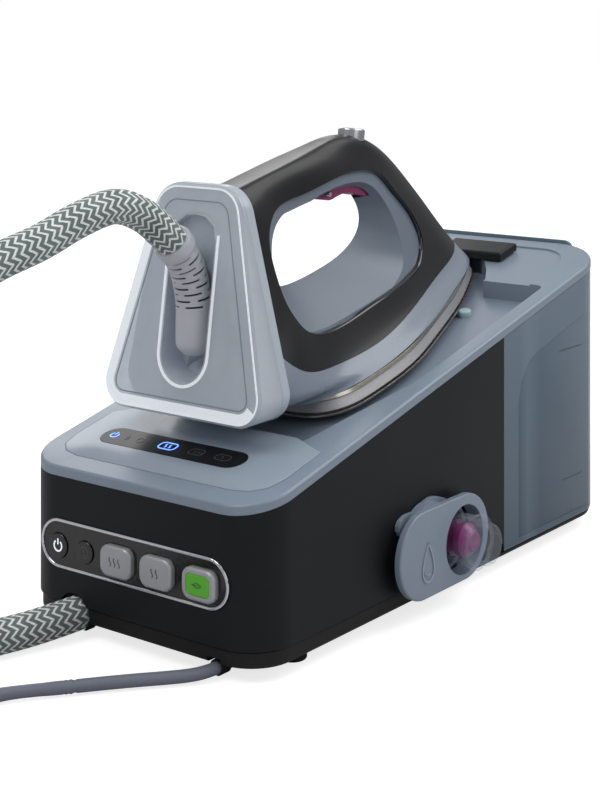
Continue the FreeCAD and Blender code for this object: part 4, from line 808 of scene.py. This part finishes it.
# painted shadow line along the panel edge
ribbon("cover_panel_edge_shadow", [q for q in even(trapezoid(10.4), 4.0)], 0.7, heel_face, "rim_line", "iron", lift=0.00016, sink=0.0002, closed=True)
# raised bead round the whole outline, coloured with the painted highlight
ribbon("cover_rim_bead_highlight", [q for q in even(trapezoid(2.3), 4.0)], 1.1, heel_face, "rim_glow_highlight", "iron", lift=0.0003, sink=0.0003, closed=True)
lipl = [(-20.2, 108)] + [(-20.2, 108 - 4 * k) for k in range(1, 19)] + [(20.2 * math.cos(math.pi + math.pi * k / 20), 34.5 + 20.2 * math.sin(math.pi + math.pi * k / 20)) for k in range(21)]
lipl += [(20.2, 36 + 4 * k) for k in range(1, 19)]
# channel lip, coloured with the painted highlight
ribbon("cover_channel_lip_highlight", lipl, 2.0, heel_face, "rim_glow_highlight", "iron", lift=0.0003, sink=0.0003)

# --------------------------------------------------------------- glossy lip round the grip hole, on both sides
HOLE = [(-83, 129), (-91.5, 119), (-96, 98), (-96.5, 77), (-89.5, 60), (-74, 50.2), (-52, 45), (0, 42.6), (49, 40.6), (79, 43), (91, 54), (88, 73),
        (69, 99.5), (54, 117), (35, 126), (4, 132.5), (-40, 134), (-70, 134.5)]


def closed_curve(pts, per=10):
    out = []
    n = len(pts)
    for i in range(n):
        p0, p1, p2, p3 = [Vector(pts[(i + k) % n]) for k in (-1, 0, 1, 2)]
        t = [0.0]
        for a, b in ((p0, p1), (p1, p2), (p2, p3)):
            t.append(t[-1] + (b - a).length ** 0.5)
        for j in range(per):
            u = t[1] + (t[2] - t[1]) * j / per
            a1 = p0.lerp(p1, (u - t[0]) / (t[1] - t[0]))
            a2 = p1.lerp(p2, (u - t[1]) / (t[2] - t[1]))
            a3 = p2.lerp(p3, (u - t[2]) / (t[3] - t[2]))
            b1 = a1.lerp(a2, (u - t[0]) / (t[2] - t[0]))
            b2 = a2.lerp(a3, (u - t[1]) / (t[3] - t[1]))
            out.append(b1.lerp(b2, (u - t[1]) / (t[2] - t[1])))
    return out


ring = closed_curve(HOLE)
mid = Vector((-5, 90))
rows_l, rows_k = {1: [], -1: []}, {1: [], -1: []}
for side in (1, -1):
    reach = []
    for p in ring:
        q = p + (p - mid).normalized() * 1.2
        hit, _n = cast("handle_shell", tl(side * 90, q.x, q.y), tdir(-side, 0, 0))
        reach.append(abs(hit.x) * 1000 if hit is not None else None)
    known = [r for r in reach if r is not None and r > 8]
    reach = [r if r is not None and r > 8 else None for r in reach]
    for i, r in enumerate(reach):
        if r is None:
            k = 1
            while reach[(i + k) % len(reach)] is None and reach[i - k] is None and k < 30:
                k += 1
            reach[i] = reach[(i + k) % len(reach)] or reach[i - k] or sum(known) / len(known)
    m = len(reach)
    for _ in range(3):
        reach = [(reach[i - 1] + 2 * reach[i] + reach[(i + 1) % m]) / 4 for i in range(m)]
    for p, r in zip(ring, reach):
        inw = (mid - p).normalized()
        def at(x, d):
            q = p + inw * d
            return tl(side * x, q.x, q.y)
        rows_l[side].append([at(r - 2.4, -0.5), at(r - 0.25, -0.1), at(r - 0.5, 0.7), at(r - 1.6, 1.5), at(r - 3.6, 1.9), at(r - 4.6, 1.5), at(r - 4.6, 0.4)])
        xi = min(r - 4.2, 30.5)
        rows_k[side].append([at(r - 3.6, 0.9), at(xi, 0.5), at(xi - 1.2, 0.2)])
for side, tag in ((1, "right"), (-1, "left")):
    for rows, nm, mat in ((rows_l, "grip_lip_", "gloss_black"), (rows_k, "grip_reveal_", "liner_grey")):
        data = rows[side]
        w = len(data[0])
        m = len(data)
        verts = [v for row in data for v in row]
        faces = []
        for i in range(m):
            j = (i + 1) % m
            for k in range(w - 1):
                f = (i * w + k, i * w + k + 1, j * w + k + 1, j * w + k)
                faces.append(f if side > 0 else f[::-1])
        new_piece(nm + tag, verts, faces, mat, "iron")

# --------------------------------------------------------------- relief on the rinse cover, level marks on the tank
def cover_face(u, v):
    return Vector((0.1095, u, v)), Vector((1, 0, 0))


big_drop = []
for k in range(40):
    t = 2 * math.pi * k / 40
    big_drop.append((-0.060 + 0.0088 * math.sin(t) * abs(math.sin(t / 2)) ** 1.3, 0.0375 + 0.0125 * math.cos(t)))
ribbon("rinse_drop_relief", big_drop, 0.0013, cover_face, "console_grey", "rinse_cover", lift=0.0007, sink=0.0004, closed=True)
ribbon("rinse_drop_glint", [(-0.060 + 0.0045 * math.cos(t), 0.0338 + 0.0045 * math.sin(t)) for t in [math.radians(200 + 9 * k) for k in range(11)]],
       0.0010, cover_face, "console_grey", "rinse_cover", lift=0.0007, sink=0.0004)


def tank_side(u, v):
    return Vector((0.0980, u, v)), Vector((1, 0, 0))


def tank_panel(u, v):
    return Vector((0.0970, u, v)), Vector((1, 0, 0))


ribbon("tank_mark_high", [(0.135 + 0.004 * k, 0.139) for k in range(9)], 0.0007, tank_panel, "mark_slate", "tank", lift=0.0002, sink=0.0003)
ribbon("tank_mark_low", [(0.140 + 0.004 * k, 0.0435) for k in range(8)], 0.0007, tank_panel, "mark_slate", "tank", lift=0.0002, sink=0.0003)

# --------------------------------------------------------------- camera, light, floor
CAM = Vector((0.6863, -0.9419, 0.381))
cam_data = bpy.data.cameras.new("camera")
cam = bpy.data.objects.new("camera", cam_data)
scene.collection.objects.link(cam)
scene.camera = cam
cam.location = CAM
cam.rotation_euler = (math.pi / 2, 0, math.radians(37.61))
cam_data.lens = 74.52
cam_data.sensor_width = 36
cam_data.clip_start, cam_data.clip_end = 0.05, 60
cam_data.shift_y = -0.474
drv = cam_data.driver_add("shift_y").driver
drv.type = "SCRIPTED"
for nm, ax in (("x", "LOC_X"), ("z", "LOC_Z")):
    var = drv.variables.new()
    var.name = nm
    var.type = "TRANSFORMS"
    var.targets[0].id = cam
    var.targets[0].transform_type = ax
    var.targets[0].transform_space = "WORLD_SPACE"
drv.expression = "-0.474 if abs(x - 0.6863) + abs(z - 0.381) < 0.002 else 0.0"

world = bpy.data.worlds.new("studio")
scene.world = world
world.use_nodes = True
wt = world.node_tree
wt.nodes.clear()
wo = wt.nodes.new("ShaderNodeOutputWorld")
bg = wt.nodes.new("ShaderNodeBackground")
tc = wt.nodes.new("ShaderNodeTexCoord")
sx = wt.nodes.new("ShaderNodeSeparateXYZ")
rp = wt.nodes.new("ShaderNodeValToRGB")
rp.color_ramp.elements[0].position = 0.0
rp.color_ramp.elements[0].color = (0.50, 0.50, 0.51, 1)
rp.color_ramp.elements[1].position = 1.0
rp.color_ramp.elements[1].color = (1.0, 1.0, 1.03, 1)
wt.links.new(tc.outputs["Generated"], sx.inputs[0])
wt.links.new(sx.outputs["Z"], rp.inputs["Fac"])
wt.links.new(rp.outputs["Color"], bg.inputs["Color"])
bg.inputs["Strength"].default_value = 0.55
lp = wt.nodes.new("ShaderNodeLightPath")
white = wt.nodes.new("ShaderNodeBackground")
white.inputs["Color"].default_value = (1, 1, 1, 1)
white.inputs["Strength"].default_value = 1.0
wm = wt.nodes.new("ShaderNodeMixShader")
wt.links.new(lp.outputs["Is Camera Ray"], wm.inputs["Fac"])
wt.links.new(bg.outputs[0], wm.inputs[1])
wt.links.new(white.outputs[0], wm.inputs[2])
wt.links.new(wm.outputs[0], wo.inputs["Surface"])


def area(name, loc, target, size, power, color=(1, 1, 1), size_y=None):
    d = bpy.data.lights.new(name, "AREA")
    d.energy = power
    d.color = color
    d.size = size
    if size_y:
        d.shape = "RECTANGLE"
        d.size_y = size_y
    o = bpy.data.objects.new(name, d)
    scene.collection.objects.link(o)
    o.location = loc
    o.rotation_euler = (Vector(target) - Vector(loc)).to_track_quat("-Z", "Y").to_euler()
    return o


area("key", (0.9, 0.9, 1.7), (0, 0, 0.1), 1.6, 19)
area("front", (-0.35, -1.45, 1.85), (0, -0.1, 0.12), 1.2, 17)
area("side", (2.0, -0.2, 1.1), (0, 0, 0.1), 1.3, 5.5)
area("back", (-1.6, 1.2, 1.2), (0, 0, 0.15), 1.2, 8)

n = Nodes("pale_floor")
cl = n.noise(3.0, 2.0)
p = n.add("ShaderNodeBsdfPrincipled", Roughness=0.7)
p.inputs["Specular IOR Level"].default_value = 0.1
n.link(n.ramp(cl.outputs["Fac"], [(0.3, (0.52, 0.52, 0.525, 1)), (0.7, (0.54, 0.54, 0.54, 1))]).outputs["Color"], p.inputs["Base Color"])
lp = n.t.nodes.new("ShaderNodeLightPath")
p.inputs["Emission Color"].default_value = (1, 1, 1, 1)
n.link(n.math("MULTIPLY", lp.outputs["Is Camera Ray"], 0.76), p.inputs["Emission Strength"])
n.link(p.outputs[0], n.out.inputs["Surface"])
bm = bmesh.new()
bmesh.ops.create_grid(bm, x_segments=4, y_segments=4, size=12)
me = bpy.data.meshes.new("floor")
bm.to_mesh(me)
bm.free()
me.materials.append(n.m)
floor = bpy.data.objects.new("floor", me)
scene.collection.objects.link(floor)
floor.location = (0, 0, -0.0002)

scene.view_settings.view_transform = "Standard"
scene.view_settings.look = "None"
